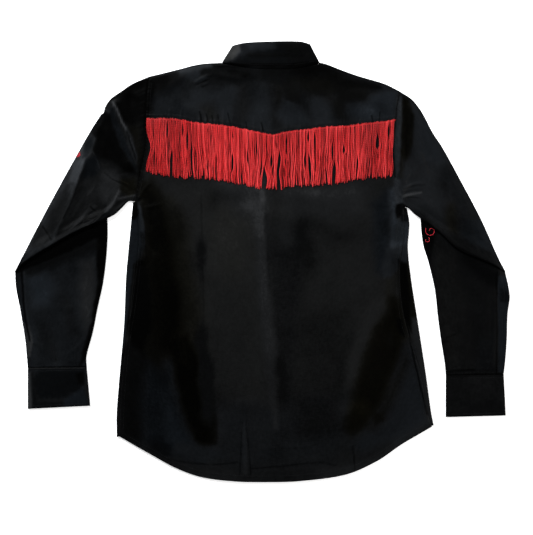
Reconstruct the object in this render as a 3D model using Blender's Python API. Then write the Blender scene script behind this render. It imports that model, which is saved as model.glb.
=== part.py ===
"""A western shirt lying flat, face down: back, yoke with a cord fringe, fronts, sleeves, cuffs and collar.

+X runs across the back to the wearer's right sleeve, +Y to the collar, +Z up. The floor is Z = 0 and the
origin is the middle of the shirt's footprint. Tables are in millimetres; meshes are in metres.
"""

import math

import bpy
from mathutils import Vector
from mathutils.bvhtree import BVHTree

MM = 0.001

# ---------------------------------------------------------------- driving dimensions (millimetres)
CLOTH = 1.2              # wall of the shirt cloth
CUFF_CLOTH = 1.6         # wall of a cuff, which is sewn double
SEAM = 0.3               # space between two pieces at a seam
BACK_TOP = 4.2           # upper face of the back above the floor, between its folds
FOREARM_TOP = 3.8        # upper face of a forearm
CUFF_TOP = 4.6           # upper face of a cuff
LEAF_TOP = 5.7           # upper face of the collar leaf at the back of the neck
NECK_LIFT = 1.5          # the fronts lie this much higher where the collar leaf is under them
CENTRE_X = 18.0          # centre line of the front
PLACKET_HALF = 19.0      # half the width of the front band
SNAP_COUNT = 7
SNAP_RADIUS = 5.2
FRINGE_COUNT = 190
FRINGE_TAPE = 5.0        # width of the tape that the cords hang from
FRINGE_LIFT = 0.45       # space under the fringe
FRINGE_THICK = 0.9
FRINGE_WIDTH = 1.65      # width of one cord

# ---------------------------------------------------------------- outlines, each a table of (x, y)
HEM = [(-275, -332), (-218, -362), (-161, -391), (-115, -407), (-48, -415), (12, -416), (73, -414),
       (159, -402), (219, -376), (265, -346), (327, -310)]
LEFT_SIDE = [(-275, -332), (-275, -285), (-269, -209), (-261, -118), (-257, -27), (-250, 49), (-244, 114)]
RIGHT_SIDE = [(327, -310), (322, -285), (311, -209), (296, -118), (282, -27), (277, 30), (276, 103)]
LEFT_SEAM = [(-271, -330), (-268, -255), (-264, -205), (-256, -139), (-246, -76), (-237, 0), (-233, 45),
             (-238, 114)]
RIGHT_SEAM = [(323, -312), (315, -285), (303, -217), (288, -162), (274, -116), (265, -60), (264, 0),
              (271, 50), (271, 103)]
LEFT_ARMHOLE = [(-242, 115), (-239, 126), (-233, 156), (-227, 184), (-220, 224), (-219, 274), (-218, 308),
                (-214, 352)]
RIGHT_ARMHOLE = [(274, 104), (266, 130), (256, 162), (252, 184), (251, 213), (255, 273), (257, 296),
                 (263, 324)]
YOKE_CORNER = 5          # row of both armhole tables where the yoke seam meets them
LEFT_SHOULDER = [(-214, 352), (-189, 358), (-159, 365), (-115, 375), (-71, 377)]
RIGHT_SHOULDER = [(109, 379), (123, 376), (151, 365), (185, 353), (235, 338), (263, 324)]
BACK_NECK = [(-71, 374.5), (-31, 372), (18, 370), (67, 372), (109, 376.2)]
LEFT_NECK = [(-71, 377), (-58, 340), (-33, 306), (0, 291)]
RIGHT_NECK = [(109, 379), (95, 341), (69, 308), (36, 291), (0, 291)]
YOKE_SEAM = [(-219, 274), (-164, 273), (-124, 266), (-67, 260), (-29, 253), (9, 245), (22, 243), (47, 249),
             (85, 253), (123, 258), (161, 260), (199, 265), (237, 269), (255, 273)]
FRINGE_ENDS = [(-219, 175), (-200, 170), (-162, 165), (-124, 163), (-86, 160), (-48, 153), (-10, 144),
               (28, 142), (47, 145), (85, 149), (123, 150), (180, 159), (218, 163), (250, 166)]
LEAF_FOLD = [(-50, 411), (-31, 415), (18, 418), (73, 418), (92, 414)]
LEAF_EDGE = [(-71, 379), (-31, 370), (18, 367), (67, 369), (109, 381)]
LEAF_FRONT_FOLD = [(-50, 411), (-38, 370), (-22, 340), (6, 324)]
LEAF_FRONT_EDGE = [(-71, 379), (-74, 340), (-62, 298), (-46, 260)]
STAND_FOLD = [(-46, 407), (-31, 412), (18, 415), (73, 415), (87, 411)]
STAND_FRONT_FOLD = [(-46, 407), (-34, 368), (-14, 340), (18, 328), (50, 340), (74, 370), (87, 411)]

LEFT_SLEEVE_OUTER = [(-214, 352), (-246, 338), (-265, 325), (-284, 312), (-294, 300), (-307, 277),
                     (-326, 247), (-352, 201), (-394, 125), (-434, 49), (-468, -19)]
LEFT_SLEEVE_INNER = [(-242, 115), (-254, 118), (-268, 105), (-280, 93), (-294, 82)]
LEFT_ELBOW = [(-468, -19), (-444, 2), (-406, 26), (-364, 50), (-332, 66), (-294, 82)]
LEFT_FOREARM_OUTER = [(-468, -19), (-467, -42), (-465, -57), (-459, -87), (-449, -148), (-446, -179),
                      (-444, -201)]
LEFT_FOREARM_INNER = [(-294, 82), (-294, 49), (-297, 4), (-303, -42), (-313, -87), (-322, -133),
                      (-335, -179), (-335, -200)]
LEFT_WRIST = [(-444, -201), (-335, -200)]
LEFT_CUFF = [(-444, -278), (-329, -272)]
RIGHT_SLEEVE_OUTER = [(263, 324), (284, 308), (297, 293), (307, 277), (322, 247), (341, 217), (375, 156),
                      (415, 80), (449, 4), (461, -19)]
RIGHT_SLEEVE_INNER = [(274, 104), (282, 104), (290, 94), (302, 82)]
RIGHT_ELBOW = [(461, -19), (436, -4), (411, 6), (385, 17), (364, 30), (339, 54), (302, 82)]
RIGHT_FOREARM_OUTER = [(461, -19), (467, -46), (470, -68), (465, -99), (465, -148), (462, -194),
                       (459, -213)]
RIGHT_FOREARM_INNER = [(302, 82), (303, 65), (307, 34), (316, 4), (324, -27), (330, -57), (335, -103),
                       (341, -148), (349, -194), (351, -215)]
RIGHT_WRIST = [(459, -213), (351, -215)]
RIGHT_CUFF = [(463, -291), (351, -294)]

# How far each elbow's upper layer folds under: share of the width from the outer edge, turn in degrees,
# depth.
ELBOW_TUCK = [(0.00, 60, 0), (0.08, 112, 0), (0.20, 152, 1), (0.32, 174, 6), (0.48, 176, 11),
              (0.64, 177, 15), (0.80, 176, 13), (0.92, 140, 1), (1.00, 60, 0)]

# Soft folds of the upper layer: the line from (x0, y0) to (x1, y1), its half width and its height.
BODY_FOLDS = [
    (-5, 140, 2, -15, 17, 1.2),
    (2, -15, 23, -345, 20, 2.6),
    (-112, 110, -106, -390, 12, -0.6),
    (-226, 90, -222, 10, 14, 2.4),
    (250, 92, 246, 20, 14, 1.8),
    (240, 0, 252, -64, 16, -0.8),
    (170, -310, 176, -390, 12, 1.2),
    (-33, -270, -34, -400, 13, 1.9),
    (-180, 60, -204, -260, 34, 1.6),
    (195, -40, 222, -260, 36, 1.6),
    (90, -120, 110, -300, 30, 0.9),
    (-110, 352, -125, 339, 12, 0.8),
]
LEFT_SLEEVE_FOLDS = [
    (-284, 303, -244, 186, 15, 3.0),
    (-333, 195, -364, 118, 16, 2.0),
    (-364, 118, -390, 56, 16, 2.2),
    (-271, 126, -286, 104, 12, 1.4),
    (-324, 121, -350, 90, 14, 1.6),
    (-394, -100, -392, -190, 14, -0.8),
    (-366, -90, -357, -185, 15, 1.9),
    (-424, -95, -422, -190, 15, 1.8),
]
RIGHT_SLEEVE_FOLDS = [
    (282, 292, 280, 175, 15, 2.8),
    (342, 178, 362, 190, 13, 1.3),
    (330, 150, 390, 40, 18, 1.8),
    (430, -60, 432, -190, 16, 1.9),
    (372, -60, 384, -190, 15, 1.7),
]

COLOURS = {
    "cloth": ((0.012, 0.013, 0.016), 0.72),
    "cloth_trim": ((0.015, 0.016, 0.019), 0.62),
    "cord": ((0.52, 0.022, 0.03), 0.6),
    "snap": ((0.02, 0.02, 0.022), 0.25),
}


# ---------------------------------------------------------------- curves and patches in plan
def smooth_step(value):
    value = min(1.0, max(0.0, value))
    return value * value * (3 - 2 * value)


def curve(points):
    """A smooth curve through the points, as a function of the share of its length."""
    knots = [Vector(point) for point in points]
    marks = [0.0]
    for before, after in zip(knots, knots[1:]):
        marks.append(marks[-1] + (after - before).length)
    last = len(knots) - 1
    slopes = []
    for i in range(last + 1):
        low, high = max(0, i - 1), min(last, i + 1)
        slopes.append((knots[high] - knots[low]) / (marks[high] - marks[low]))

    def at(share):
        length = min(1.0, max(0.0, share)) * marks[-1]
        i = 0
        while i < last - 1 and length > marks[i + 1]:
            i += 1
        span = marks[i + 1] - marks[i]
        t = (length - marks[i]) / span
        near = (1 + 2 * t) * (1 - t) ** 2 * knots[i] + t * (1 - t) ** 2 * span * slopes[i]
        far = t * t * (3 - 2 * t) * knots[i + 1] - t * t * (1 - t) * span * slopes[i + 1]
        return near + far

    return at


def joined(first, second, share):
    """Two curves end to end, the first taking this share of the whole."""
    return lambda t: first(t / share) if t <= share else second((t - share) / (1 - share))


def reverse(path):
    return lambda t: path(1 - t)


def inset(path, distance):
    """The curve moved to its left by a distance."""

    def at(t):
        step = 0.004
        ahead = path(min(1, t + step)) - path(max(0, t - step))
        return path(t) + Vector((-ahead.y, ahead.x)).normalized() * distance

    return at


def ruled(bottom, top):
    """The surface in plan of straight lines from one curve to the other, as a function of (u, v)."""
    return lambda u, v: bottom(u) + (top(u) - bottom(u)) * v


def patch(bottom, top, left, right):
    """The surface in plan between four curves that meet at their ends, as a function of (u, v)."""

    def at(u, v):
        both = (1 - v) * bottom(u) + v * top(u) + (1 - u) * left(v) + u * right(v)
        low = (1 - u) * (1 - v) * bottom(0) + u * (1 - v) * bottom(1)
        return both - low - (1 - u) * v * top(0) - u * v * top(1)

    return at


def height_at(x, table):
    """y of a table of (x, y), in straight steps."""
    for (x0, y0), (x1, y1) in zip(table, table[1:]):
        if x <= x1:
            return y0 + (y1 - y0) * max(0.0, (x - x0)) / (x1 - x0)
    return table[-1][1]


def folds(place, table):
    """Height that the soft folds of a table add at a place."""
    height = 0.0
    for x0, y0, x1, y1, half_width, rise in table:
        start, run = Vector((x0, y0)), Vector((x1 - x0, y1 - y0))
        share = (place - start).dot(run) / run.length_squared
        nearest = start + run * min(1.0, max(0.0, share))
        height += rise * math.exp(-(((place - nearest).length / half_width) ** 2))
    return height


def neck_lift(place):
    """How much the fronts rise over the collar leaf that lies under them."""
    aside = abs(place.x - CENTRE_X - 1)
    along = smooth_step((place.y - 150) / 45)
    across = smooth_step((112 - aside) / 16) * smooth_step((aside - PLACKET_HALF - 1.3) / 7)
    return NECK_LIFT * along * across


def back_height(place):
    """Upper face of the back and the yoke. It is level beside the neck and under the fringe."""
    calm = smooth_step((392 - place.y) / 60)
    under_fringe = smooth_step(abs(place.y - 205) / 80)
    return BACK_TOP + folds(place, BODY_FOLDS) * calm * (0.25 + 0.75 * under_fringe)


def front_lap(place):
    """The right front rises over the placket, which is on the left front."""
    return NECK_LIFT * smooth_step((CENTRE_X + 90 - place.x) / 30)


# ---------------------------------------------------------------- walls of cloth
class Sheet:
    """A wall of cloth: keyed points on its outer and inner faces, and four-cornered cells between them."""

    def __init__(self):
        self.outer = {}
        self.inner = {}
        self.cells = []

    def point(self, key, outer, inner):
        self.outer[key] = outer
        self.inner[key] = inner

    def level(self, key, place, outer, inner):
        self.point(key, Vector((place.x, place.y, outer)), Vector((place.x, place.y, inner)))

    def grid(self, rows):
        """Cells between neighbouring rows of keys."""
        for low, high in zip(rows, rows[1:]):
            for i in range(len(low) - 1):
                self.cells.append((low[i], low[i + 1], high[i + 1], high[i]))

    def faces(self):
        """Three-cornered faces of the closed wall, as numbers of its points."""
        keys = list(self.outer)
        number = {key: i for i, key in enumerate(keys)}
        away = len(keys)
        edges = {(c[i], c[(i + 1) % 4]) for c in self.cells for i in range(4)}
        faces = []
        for cell in self.cells:
            a, b, c, d = (number[key] for key in cell)
            faces += [(a, b, c), (a, c, d)]
            faces += [(c + away, b + away, a + away), (d + away, c + away, a + away)]
            for i in range(4):
                start, end = cell[i], cell[(i + 1) % 4]
                if (end, start) not in edges:
                    p, q = number[start], number[end]
                    faces += [(q, p, p + away), (q, p + away, q + away)]
        points = [self.outer[key] for key in keys] + [self.inner[key] for key in keys]
        return points, faces

    def roof(self):
        """The outer face alone, to lay another piece on."""
        keys = list(self.outer)
        number = {key: i for i, key in enumerate(keys)}
        faces = []
        for cell in self.cells:
            a, b, c, d = (number[key] for key in cell)
            faces += [(a, b, c), (a, c, d)]
        return BVHTree.FromPolygons([self.outer[key] for key in keys], faces)


def solid(name, points, faces, finish):
    """A mesh object from points in millimetres, turned inside out if its faces point in."""
    volume = sum(points[a].dot(points[b].cross(points[c])) for a, b, c in faces)
    if volume < 0:
        faces = [face[::-1] for face in faces]
    mesh = bpy.data.meshes.new(name)
    mesh.from_pydata([tuple(point * MM) for point in points], [], faces)
    mesh.shade_smooth()
    mesh.set_sharp_from_angle(angle=math.radians(40))
    mesh.materials.append(material(finish))
    thing = bpy.data.objects.new(name, mesh)
    bpy.context.scene.collection.objects.link(thing)
    return thing


def sheet_solid(name, sheet, finish="cloth"):
    points, faces = sheet.faces()
    return solid(name, points, faces, finish)


def material(finish):
    found = bpy.data.materials.get(finish)
    if found:
        return found
    colour, roughness = COLOURS[finish]
    made = bpy.data.materials.new(finish)
    made.use_nodes = True
    shader = made.node_tree.nodes["Principled BSDF"]
    shader.inputs["Base Color"].default_value = (*colour, 1)
    shader.inputs["Roughness"].default_value = roughness
    shader.inputs["Metallic"].default_value = 0.0
    return made


def turned(sheet, edge_keys, new_keys, edges, inward, lows, highs, wall=CLOTH):
    """Half round turns from the lower layer up to the upper one, one row of keys after another.

    edges are the outermost places in plan, inward the unit directions back over the cloth, lows and highs
    the outer faces of the two layers, and new_keys the rows of keys, the last of them the turn's end.
    """
    steps = len(new_keys)
    for n, keys in enumerate(new_keys):
        angle = math.pi * (n + 1) / steps - math.pi / 2
        for key, edge, way, low, high in zip(keys, edges, inward, lows, highs):
            radius = (high - low) / 2
            middle = Vector((*(edge + way * radius), (low + high) / 2))
            ray = Vector((*(-way * math.cos(angle)), math.sin(angle)))
            sheet.point(key, middle + ray * radius, middle + ray * (radius - wall))
    sheet.grid([edge_keys] + new_keys)


# ---------------------------------------------------------------- body
SIDE_ROWS = 12
SHOULDER_COLUMNS = 5
TURN_STEPS = 4
ARM_MARKS = [1 - row[0] for row in reversed(ELBOW_TUCK)]   # shares of the armhole, from the armpit up
NECK_MARKS = (0.3, 0.62, 0.89, 1.0)          # shares of half the front neck, from the shoulder down
YOKE_MARK = 0.68                             # the mark at the yoke seam


def armhole_curve(table):
    """The armhole from the armpit to the shoulder, with the yoke seam at its mark."""
    return joined(curve(table[: YOKE_CORNER + 1]), curve(table[YOKE_CORNER:]), YOKE_MARK)


def make_back():
    arm_marks = [mark / YOKE_MARK for mark in ARM_MARKS if mark < YOKE_MARK + 0.01]
    rows = SIDE_ROWS + len(arm_marks) - 1
    share = SIDE_ROWS / rows
    marks = [share * j / SIDE_ROWS for j in range(SIDE_ROWS)]
    marks += [share + (1 - share) * mark for mark in arm_marks]
    left = joined(curve(LEFT_SEAM), curve(LEFT_ARMHOLE[: YOKE_CORNER + 1]), share)
    right = joined(curve(RIGHT_SEAM), curve(RIGHT_ARMHOLE[: YOKE_CORNER + 1]), share)
    seam = curve(YOKE_SEAM)
    hem_full = curve(HEM)
    start, end = left(0), right(0)

    def hem(t):
        place = hem_full(0.006 + 0.988 * t)
        return place + (start - hem_full(0.006)) * (1 - t) ** 6 + (end - hem_full(0.994)) * t ** 6

    shape = patch(hem, seam, left, right)
    sheet = Sheet()
    columns = 18
    for j, v in enumerate(marks):
        for i in range(columns + 1):
            u = i / columns
            place = shape(u, v)
            place.x += SEAM * ((i == 0) - (i == columns))
            place.y -= SEAM * (v == 1)
            top = back_height(place)
            sheet.level((i, j), place, top, top - CLOTH)
    sheet.grid([[(i, j) for i in range(columns + 1)] for j in range(rows + 1)])
    sheet_solid("back", sheet)
    return sheet


def make_yoke():
    turn = BACK_TOP / 2 + SEAM
    shoulder_left = inset(curve(LEFT_SHOULDER), -turn)
    shoulder_right = inset(curve(RIGHT_SHOULDER), -turn)
    neck = inset(curve(BACK_NECK), -SEAM)
    neck_columns = 8
    columns = neck_columns + 2 * SHOULDER_COLUMNS
    top = joined(shoulder_left, joined(neck, shoulder_right, neck_columns / (columns - SHOULDER_COLUMNS)),
                 SHOULDER_COLUMNS / columns)
    bottom = curve(YOKE_SEAM)
    left, right = curve(LEFT_ARMHOLE[YOKE_CORNER:]), curve(RIGHT_ARMHOLE[YOKE_CORNER:])
    shape = patch(bottom, top, lambda t: left(t) + (top(0) - left(1)) * t ** 4,
                  lambda t: right(t) + (top(1) - right(1)) * t ** 4)
    marks = [(mark - YOKE_MARK) / (1 - YOKE_MARK) for mark in ARM_MARKS if mark > YOKE_MARK - 0.01]
    marks = sorted(marks + [(marks[0] + marks[1]) / 2, (marks[1] + marks[2]) / 2])
    sheet = Sheet()
    for j, v in enumerate(marks):
        for i in range(columns + 1):
            u = i / columns
            place = shape(u, v)
            place.x += SEAM * ((i == 0) - (i == columns))
            height = back_height(place)
            sheet.level((i, j), place, height, height - CLOTH)
    sheet.grid([[(i, j) for i in range(columns + 1)] for j in range(len(marks))])
    sheet_solid("yoke", sheet)


def make_front(name, side, seam, armhole, shoulder, neck, inner_x, sign, lift):
    """One front: flat on the floor, turned up round its side and shoulder to meet the back and yoke.

    sign is +1 for the left front, whose side edge is at its low x, and -1 for the right one.
    """
    side, seam, armhole = curve(side), curve(seam), armhole_curve(armhole)
    shoulder, neck, hem_all = curve(shoulder), curve(neck), curve(HEM)
    if sign < 0:
        shoulder = reverse(shoulder)
    shoulder_columns = SHOULDER_COLUMNS
    columns = shoulder_columns + len(NECK_MARKS)
    rows = SIDE_ROWS + len(ARM_MARKS) - 1
    share = SIDE_ROWS / rows
    row_marks = [share * j / SIDE_ROWS for j in range(SIDE_ROWS)]
    row_marks += [share + (1 - share) * mark for mark in ARM_MARKS]
    start = shoulder_columns / columns
    column_marks = [i / columns for i in range(shoulder_columns + 1)]
    column_marks += [start + (1 - start) * mark for mark in NECK_MARKS]

    def lower(place):
        return max(lift(place), neck_lift(place))

    def side_radius(t):
        high = back_height(seam(t))
        return (high - lower(side(t))) / 2

    flat_side = lambda t: side(t) + Vector((sign * side_radius(t), 0))
    turn = BACK_TOP / 2
    shoulder_flat = inset(shoulder, -turn * sign)
    short = shoulder_flat(0) - armhole(1) - Vector((sign * SEAM, 0))
    outer = joined(flat_side, lambda t: armhole(t) + Vector((sign * SEAM, 0)) + short * t ** 6, share)
    first = outer(0)
    ends = joined(shoulder_flat, inset(neck, -SEAM * sign), shoulder_columns / columns)
    end = Vector((inner_x, neck(1).y - SEAM))

    def top(t):
        return ends(t) + (end - ends(1)) * t ** 8

    def hem(t):
        x = first.x + (inner_x - first.x) * t
        low, high = 0.0, 1.0
        for _ in range(30):
            middle = (low + high) / 2
            if hem_all(middle).x < x:
                low = middle
            else:
                high = middle
        return Vector((x, hem_all(low).y + 3.0 + (first.y - hem_all(low).y - 3.0) * (1 - t) ** 12))

    inner = lambda t: hem(1) + (end - hem(1)) * t
    shape = patch(hem, top, outer, inner)
    sheet = Sheet()
    for j, v in enumerate(row_marks):
        for i, u in enumerate(column_marks):
            place = shape(u, v)
            low = lower(place)
            sheet.level((i, j), place, low, low + CLOTH)
    sheet.grid([[(i, j) for i in range(columns + 1)] for j in range(rows + 1)])

    marks = [j / SIDE_ROWS for j in range(SIDE_ROWS + 1)]
    edges = [side(t) for t in marks]
    inward = [Vector((sign, 0)) for _ in marks]
    lows = [lower(place) for place in edges]
    highs = [back_height(seam(t)) for t in marks]
    keys = [[("side", j, n) for j in range(SIDE_ROWS + 1)] for n in range(TURN_STEPS)]
    turned(sheet, [(0, j) for j in range(SIDE_ROWS + 1)], keys, edges, inward, lows, highs)
    strip = [("strip", j) for j in range(SIDE_ROWS + 1)]
    for key, t, edge, low, high in zip(strip, marks, edges, lows, highs):
        place = seam(t) + Vector((-sign * SEAM / 2, 0))
        nearest = edge.x + sign * ((high - low) / 2 + 0.8)
        place.x = max(place.x, nearest) if sign > 0 else min(place.x, nearest)
        sheet.level(key, place, high, high - CLOTH)
    sheet.grid([keys[-1], strip])

    marks = [i / shoulder_columns for i in range(shoulder_columns + 1)]
    inward = [(shoulder_flat(t) - shoulder(t)).normalized() for t in marks]
    flats = [sheet.outer[(i, rows)] for i in range(shoulder_columns + 1)]
    edges = [Vector((flat.x, flat.y)) - way * turn for flat, way in zip(flats, inward)]
    lows = [flat.z for flat in flats]
    highs = [BACK_TOP for _ in marks]
    for flat, edge, way, low in zip(flats, edges, inward, lows):
        place = edge + way * ((BACK_TOP - low) / 2)
        flat.x, flat.y = place
    for i in range(shoulder_columns + 1):
        flat = sheet.outer[(i, rows)]
        sheet.inner[(i, rows)] = flat + Vector((0, 0, CLOTH))
    keys = [[("shoulder", i, n) for i in range(shoulder_columns + 1)] for n in range(TURN_STEPS)]
    turned(sheet, [(i, rows) for i in range(shoulder_columns + 1)], keys, edges, inward, lows, highs)
    sheet_solid(name, sheet)


def make_placket():
    left, right = CENTRE_X - PLACKET_HALF, CENTRE_X + PLACKET_HALF
    rows = 8
    sheet = Sheet()
    for j in range(rows + 1):
        for i, x in enumerate((left, CENTRE_X, right)):
            top = LEFT_NECK[-1][1] - 2 * SEAM
            bottom = height_at(x, HEM) + 3.0
            place = Vector((x, bottom + (top - bottom) * j / rows))
            sheet.level((i, j), place, 0.0, CLOTH)
    sheet.grid([[(i, j) for i in range(3)] for j in range(rows + 1)])
    band = sheet_solid("placket", sheet, "cloth_trim")
    places = [Vector((CENTRE_X, 205 - 84.0 * n)) for n in range(SNAP_COUNT)]
    add_snaps(band, "snap", places, CLOTH)


def add_snaps(holder, name, places, wall):
    """Round studs flush in holes through a wall that lies on the floor."""
    holes = []
    for n, place in enumerate(places):
        stud = disc(f"{name}_{n + 1}", place, SNAP_RADIUS, 0.0, wall, 12)
        stud.data.materials.append(material("snap"))
        hole = disc(f"{name}_{n + 1}_hole", place, SNAP_RADIUS + SEAM, -2.0, wall + 0.5, 12)
        hole.hide_render = True
        hole.display_type = "WIRE"
        holes.append(hole)
    for hole in holes:
        cut = holder.modifiers.new(hole.name, "BOOLEAN")
        cut.operation = "DIFFERENCE"
        cut.object = hole


def disc(name, place, radius, low, high, sides):
    ring = [Vector((math.cos(math.tau * k / sides), math.sin(math.tau * k / sides))) for k in range(sides)]
    points = [(*((place + way * radius) * MM), z * MM) for z in (low, high) for way in ring]
    faces = [tuple(reversed(range(sides))), tuple(range(sides, 2 * sides))]
    faces += [(k, (k + 1) % sides, (k + 1) % sides + sides, k + sides) for k in range(sides)]
    mesh = bpy.data.meshes.new(name)
    mesh.from_pydata(points, [], faces)
    thing = bpy.data.objects.new(name, mesh)
    bpy.context.scene.collection.objects.link(thing)
    return thing


# ---------------------------------------------------------------- sleeves
EDGE_STEPS = 3           # flats of a tube's turned edge


def round_edge(sheet, edge, way, ends, name, row, wall):
    """The turned edge of a tube on the floor: moves its upper and lower ends in along way and joins them."""
    radius = sheet.outer[ends[0]].z / 2
    slide = Vector((*(way * radius), 0))
    for key in ends:
        sheet.outer[key] = sheet.outer[key] + slide
        sheet.inner[key] = sheet.inner[key] + slide
    middle = Vector((*edge, radius)) + slide
    for n in range(1, EDGE_STEPS):
        turn = math.pi * n / EDGE_STEPS - math.pi / 2
        ray = Vector((*(-way * math.cos(turn)), math.sin(turn)))
        sheet.point((*name, n, row), middle + ray * radius, middle + ray * (radius - wall))


def tuck_profile(turn, depth):
    """One line of the elbow's fold, as (along the arm, height) from the forearm's upper face at its far end.

    Gives matching points of the outer and inner face: down the upper layer, round, back under it, round
    again and out along the forearm. turn is how far the cloth turns back: 180 degrees lies flat on itself.
    """
    radius = CLOTH / 2 + 0.2
    steps = 3
    angle = math.radians(turn)
    drop = 2 * radius * (1 - math.cos(angle))
    back = max(depth, (2 * radius * 2 - drop) / math.sin(angle), 0.3)
    places, headings = [Vector((0, 0))], [0.0]
    for n in range(1, steps + 1):
        heading = angle * n / steps
        centre = Vector((0, -radius))
        places.append(centre + Vector((math.sin(heading), math.cos(heading))) * radius)
        headings.append(heading)
    places.append(places[-1] + Vector((math.cos(angle), -math.sin(angle))) * back)
    headings.append(angle)
    pivot = places[-1] + Vector((math.sin(angle), math.cos(angle))) * radius
    for n in range(1, steps + 1):
        heading = angle * (1 - n / steps)
        places.append(pivot - Vector((math.sin(heading), math.cos(heading))) * radius)
        headings.append(heading)
    floor = places[-1].y
    lead = max(place.x for place in places[: steps + 2])
    outer, inner = [], []
    for place, heading in zip(places, headings):
        spot = place - Vector((lead, floor))
        normal = Vector((math.sin(heading), math.cos(heading)))
        outer.append(spot)
        inner.append(spot - normal * CLOTH)
    return outer, inner


def make_sleeve(name, outlines, fold_table, sign):
    """A flattened tube from the armhole to the wrist, its upper layer tucked at the elbow.

    sign is -1 for the left sleeve, which points to low x, and +1 for the right one.
    """
    armhole = armhole_curve(outlines[0])
    outer, inner, elbow, fore_outer, fore_inner, wrist = (curve(table) for table in outlines[1:])
    shares = [row[0] for row in ELBOW_TUCK]
    profiles = [tuck_profile(turn, depth) for _, turn, depth in ELBOW_TUCK]
    away = (wrist(0.5) - elbow(0.5)).normalized()
    upper_rows, fore_rows = 8, 7
    tuck_rows = len(profiles[0][0])
    arm = patch(reverse(armhole), elbow, outer, inner)
    fore = patch(elbow, wrist, fore_outer, fore_inner)

    def calm_edges(u):
        return smooth_step(u / 0.12) * smooth_step((1 - u) / 0.12)

    elbow_tops = [FOREARM_TOP + profile[0][0].y for profile in profiles]
    starts = [profile[0][0].x for profile in profiles]
    sheet = Sheet()
    count = len(shares)
    rows = []
    for j in range(upper_rows):
        v = j / upper_rows
        row = []
        for i, u in enumerate(shares):
            place = arm(u, v)
            if j == 0:
                place = place + Vector((sign * SEAM, 0))
            place = place + away * starts[i] * v ** 6
            near = (elbow(u) - place).length
            rise = smooth_step((52 - near) / 28)
            base = BACK_TOP + (elbow_tops[i] - BACK_TOP) * rise
            top = base + folds(place, fold_table) * calm_edges(u) * (1 - rise) * smooth_step(v / 0.1)
            row.append((place, top, None))
        rows.append(row)
    for k in range(tuck_rows):
        row = []
        for i, u in enumerate(shares):
            outer_face, inner_face = profiles[i][0][k], profiles[i][1][k]
            place = elbow(u) + away * outer_face.x
            row.append((place, FOREARM_TOP + outer_face.y, inner_face - outer_face))
        rows.append(row)
    for j in range(1, fore_rows + 1):
        v = j / fore_rows
        row = []
        for i, u in enumerate(shares):
            place = fore(u, v)
            if j < 3:
                place = place + away * max(0.0, profiles[i][0][-1].x) * (1 - v)
            calm = smooth_step((v - 0.05) / 0.2) * smooth_step((1 - v) / 0.08)
            top = FOREARM_TOP + folds(place, fold_table) * calm_edges(u) * calm
            if j == fore_rows:
                place = place - away * SEAM
            row.append((place, top, None))
        rows.append(row)

    in_tuck = range(upper_rows, upper_rows + tuck_rows)
    for j, row in enumerate(rows):
        for i, (place, top, slant) in enumerate(row):
            upper = Vector((place.x, place.y, top))
            if slant is None:
                sheet.point(("top", i, j), upper, upper - Vector((0, 0, CLOTH)))
            else:
                under = upper + Vector((*(away * slant.x), slant.y))
                sheet.point(("top", i, j), upper, under)
            if j in in_tuck:
                place = elbow(shares[i]) + row[0][0] - elbow(0)
            sheet.level(("low", i, j), place, 0.0, CLOTH)
        for end, i, beside in ((0, 0, 1), (1, count - 1, count - 2)):
            edge = row[i][0]
            neighbour = row[beside][0]
            if j in in_tuck:
                neighbour = elbow(shares[beside]) + edge - elbow(shares[i])
            way = (neighbour - edge).normalized()
            round_edge(sheet, edge, way, (("top", i, j), ("low", i, j)), ("edge", end), j, CLOTH)
    ring = [("top", i) for i in range(count)] + [("edge", 1, n) for n in range(EDGE_STEPS - 1, 0, -1)]
    ring += [("low", i) for i in range(count - 1, -1, -1)] + [("edge", 0, n) for n in range(1, EDGE_STEPS)]
    ring += [ring[0]]
    sheet.grid([[(*key, j) for key in ring] for j in range(len(rows))])
    sheet_solid(name, sheet)


def make_cuff(name, wrist, hem):
    """A flat band, its ends turned round both edges."""
    wrist, hem = curve(wrist), curve(hem)
    away = (hem(0.5) - wrist(0.5)).normalized()

    def shape(u, v):
        return wrist(u) + (hem(u) - wrist(u)) * v + away * SEAM * (1 - v)

    columns, rows = 5, 4
    sheet = Sheet()
    for j in range(rows + 1):
        for i in range(columns + 1):
            place = shape(i / columns, j / rows)
            sheet.level(("top", i, j), place, CUFF_TOP, CUFF_TOP - CUFF_CLOTH)
            sheet.level(("low", i, j), place, 0.0, CUFF_CLOTH)
        edges = [shape(0, j / rows), shape(1, j / rows)]
        way = (edges[1] - edges[0]).normalized()
        for side, i, inward in ((0, 0, way), (1, columns, -way)):
            round_edge(sheet, edges[side], inward, (("top", i, j), ("low", i, j)), ("edge", side), j, CUFF_CLOTH)
    ring = [("top", i) for i in range(columns + 1)] + [("edge", 1, n) for n in range(EDGE_STEPS - 1, 0, -1)]
    ring += [("low", i) for i in range(columns, -1, -1)] + [("edge", 0, n) for n in range(1, EDGE_STEPS)]
    ring += [ring[0]]
    sheet.grid([[(*key, j) for key in ring] for j in range(rows + 1)])
    cuff = sheet_solid(name, sheet, "cloth_trim")
    middle = wrist(0.42) + (hem(0.42) - wrist(0.42)) * 0.5
    spread = (hem(0.42) - wrist(0.42)) * 0.24
    add_snaps(cuff, name + "_snap", [middle - spread, middle + spread], CUFF_CLOTH)


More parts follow.
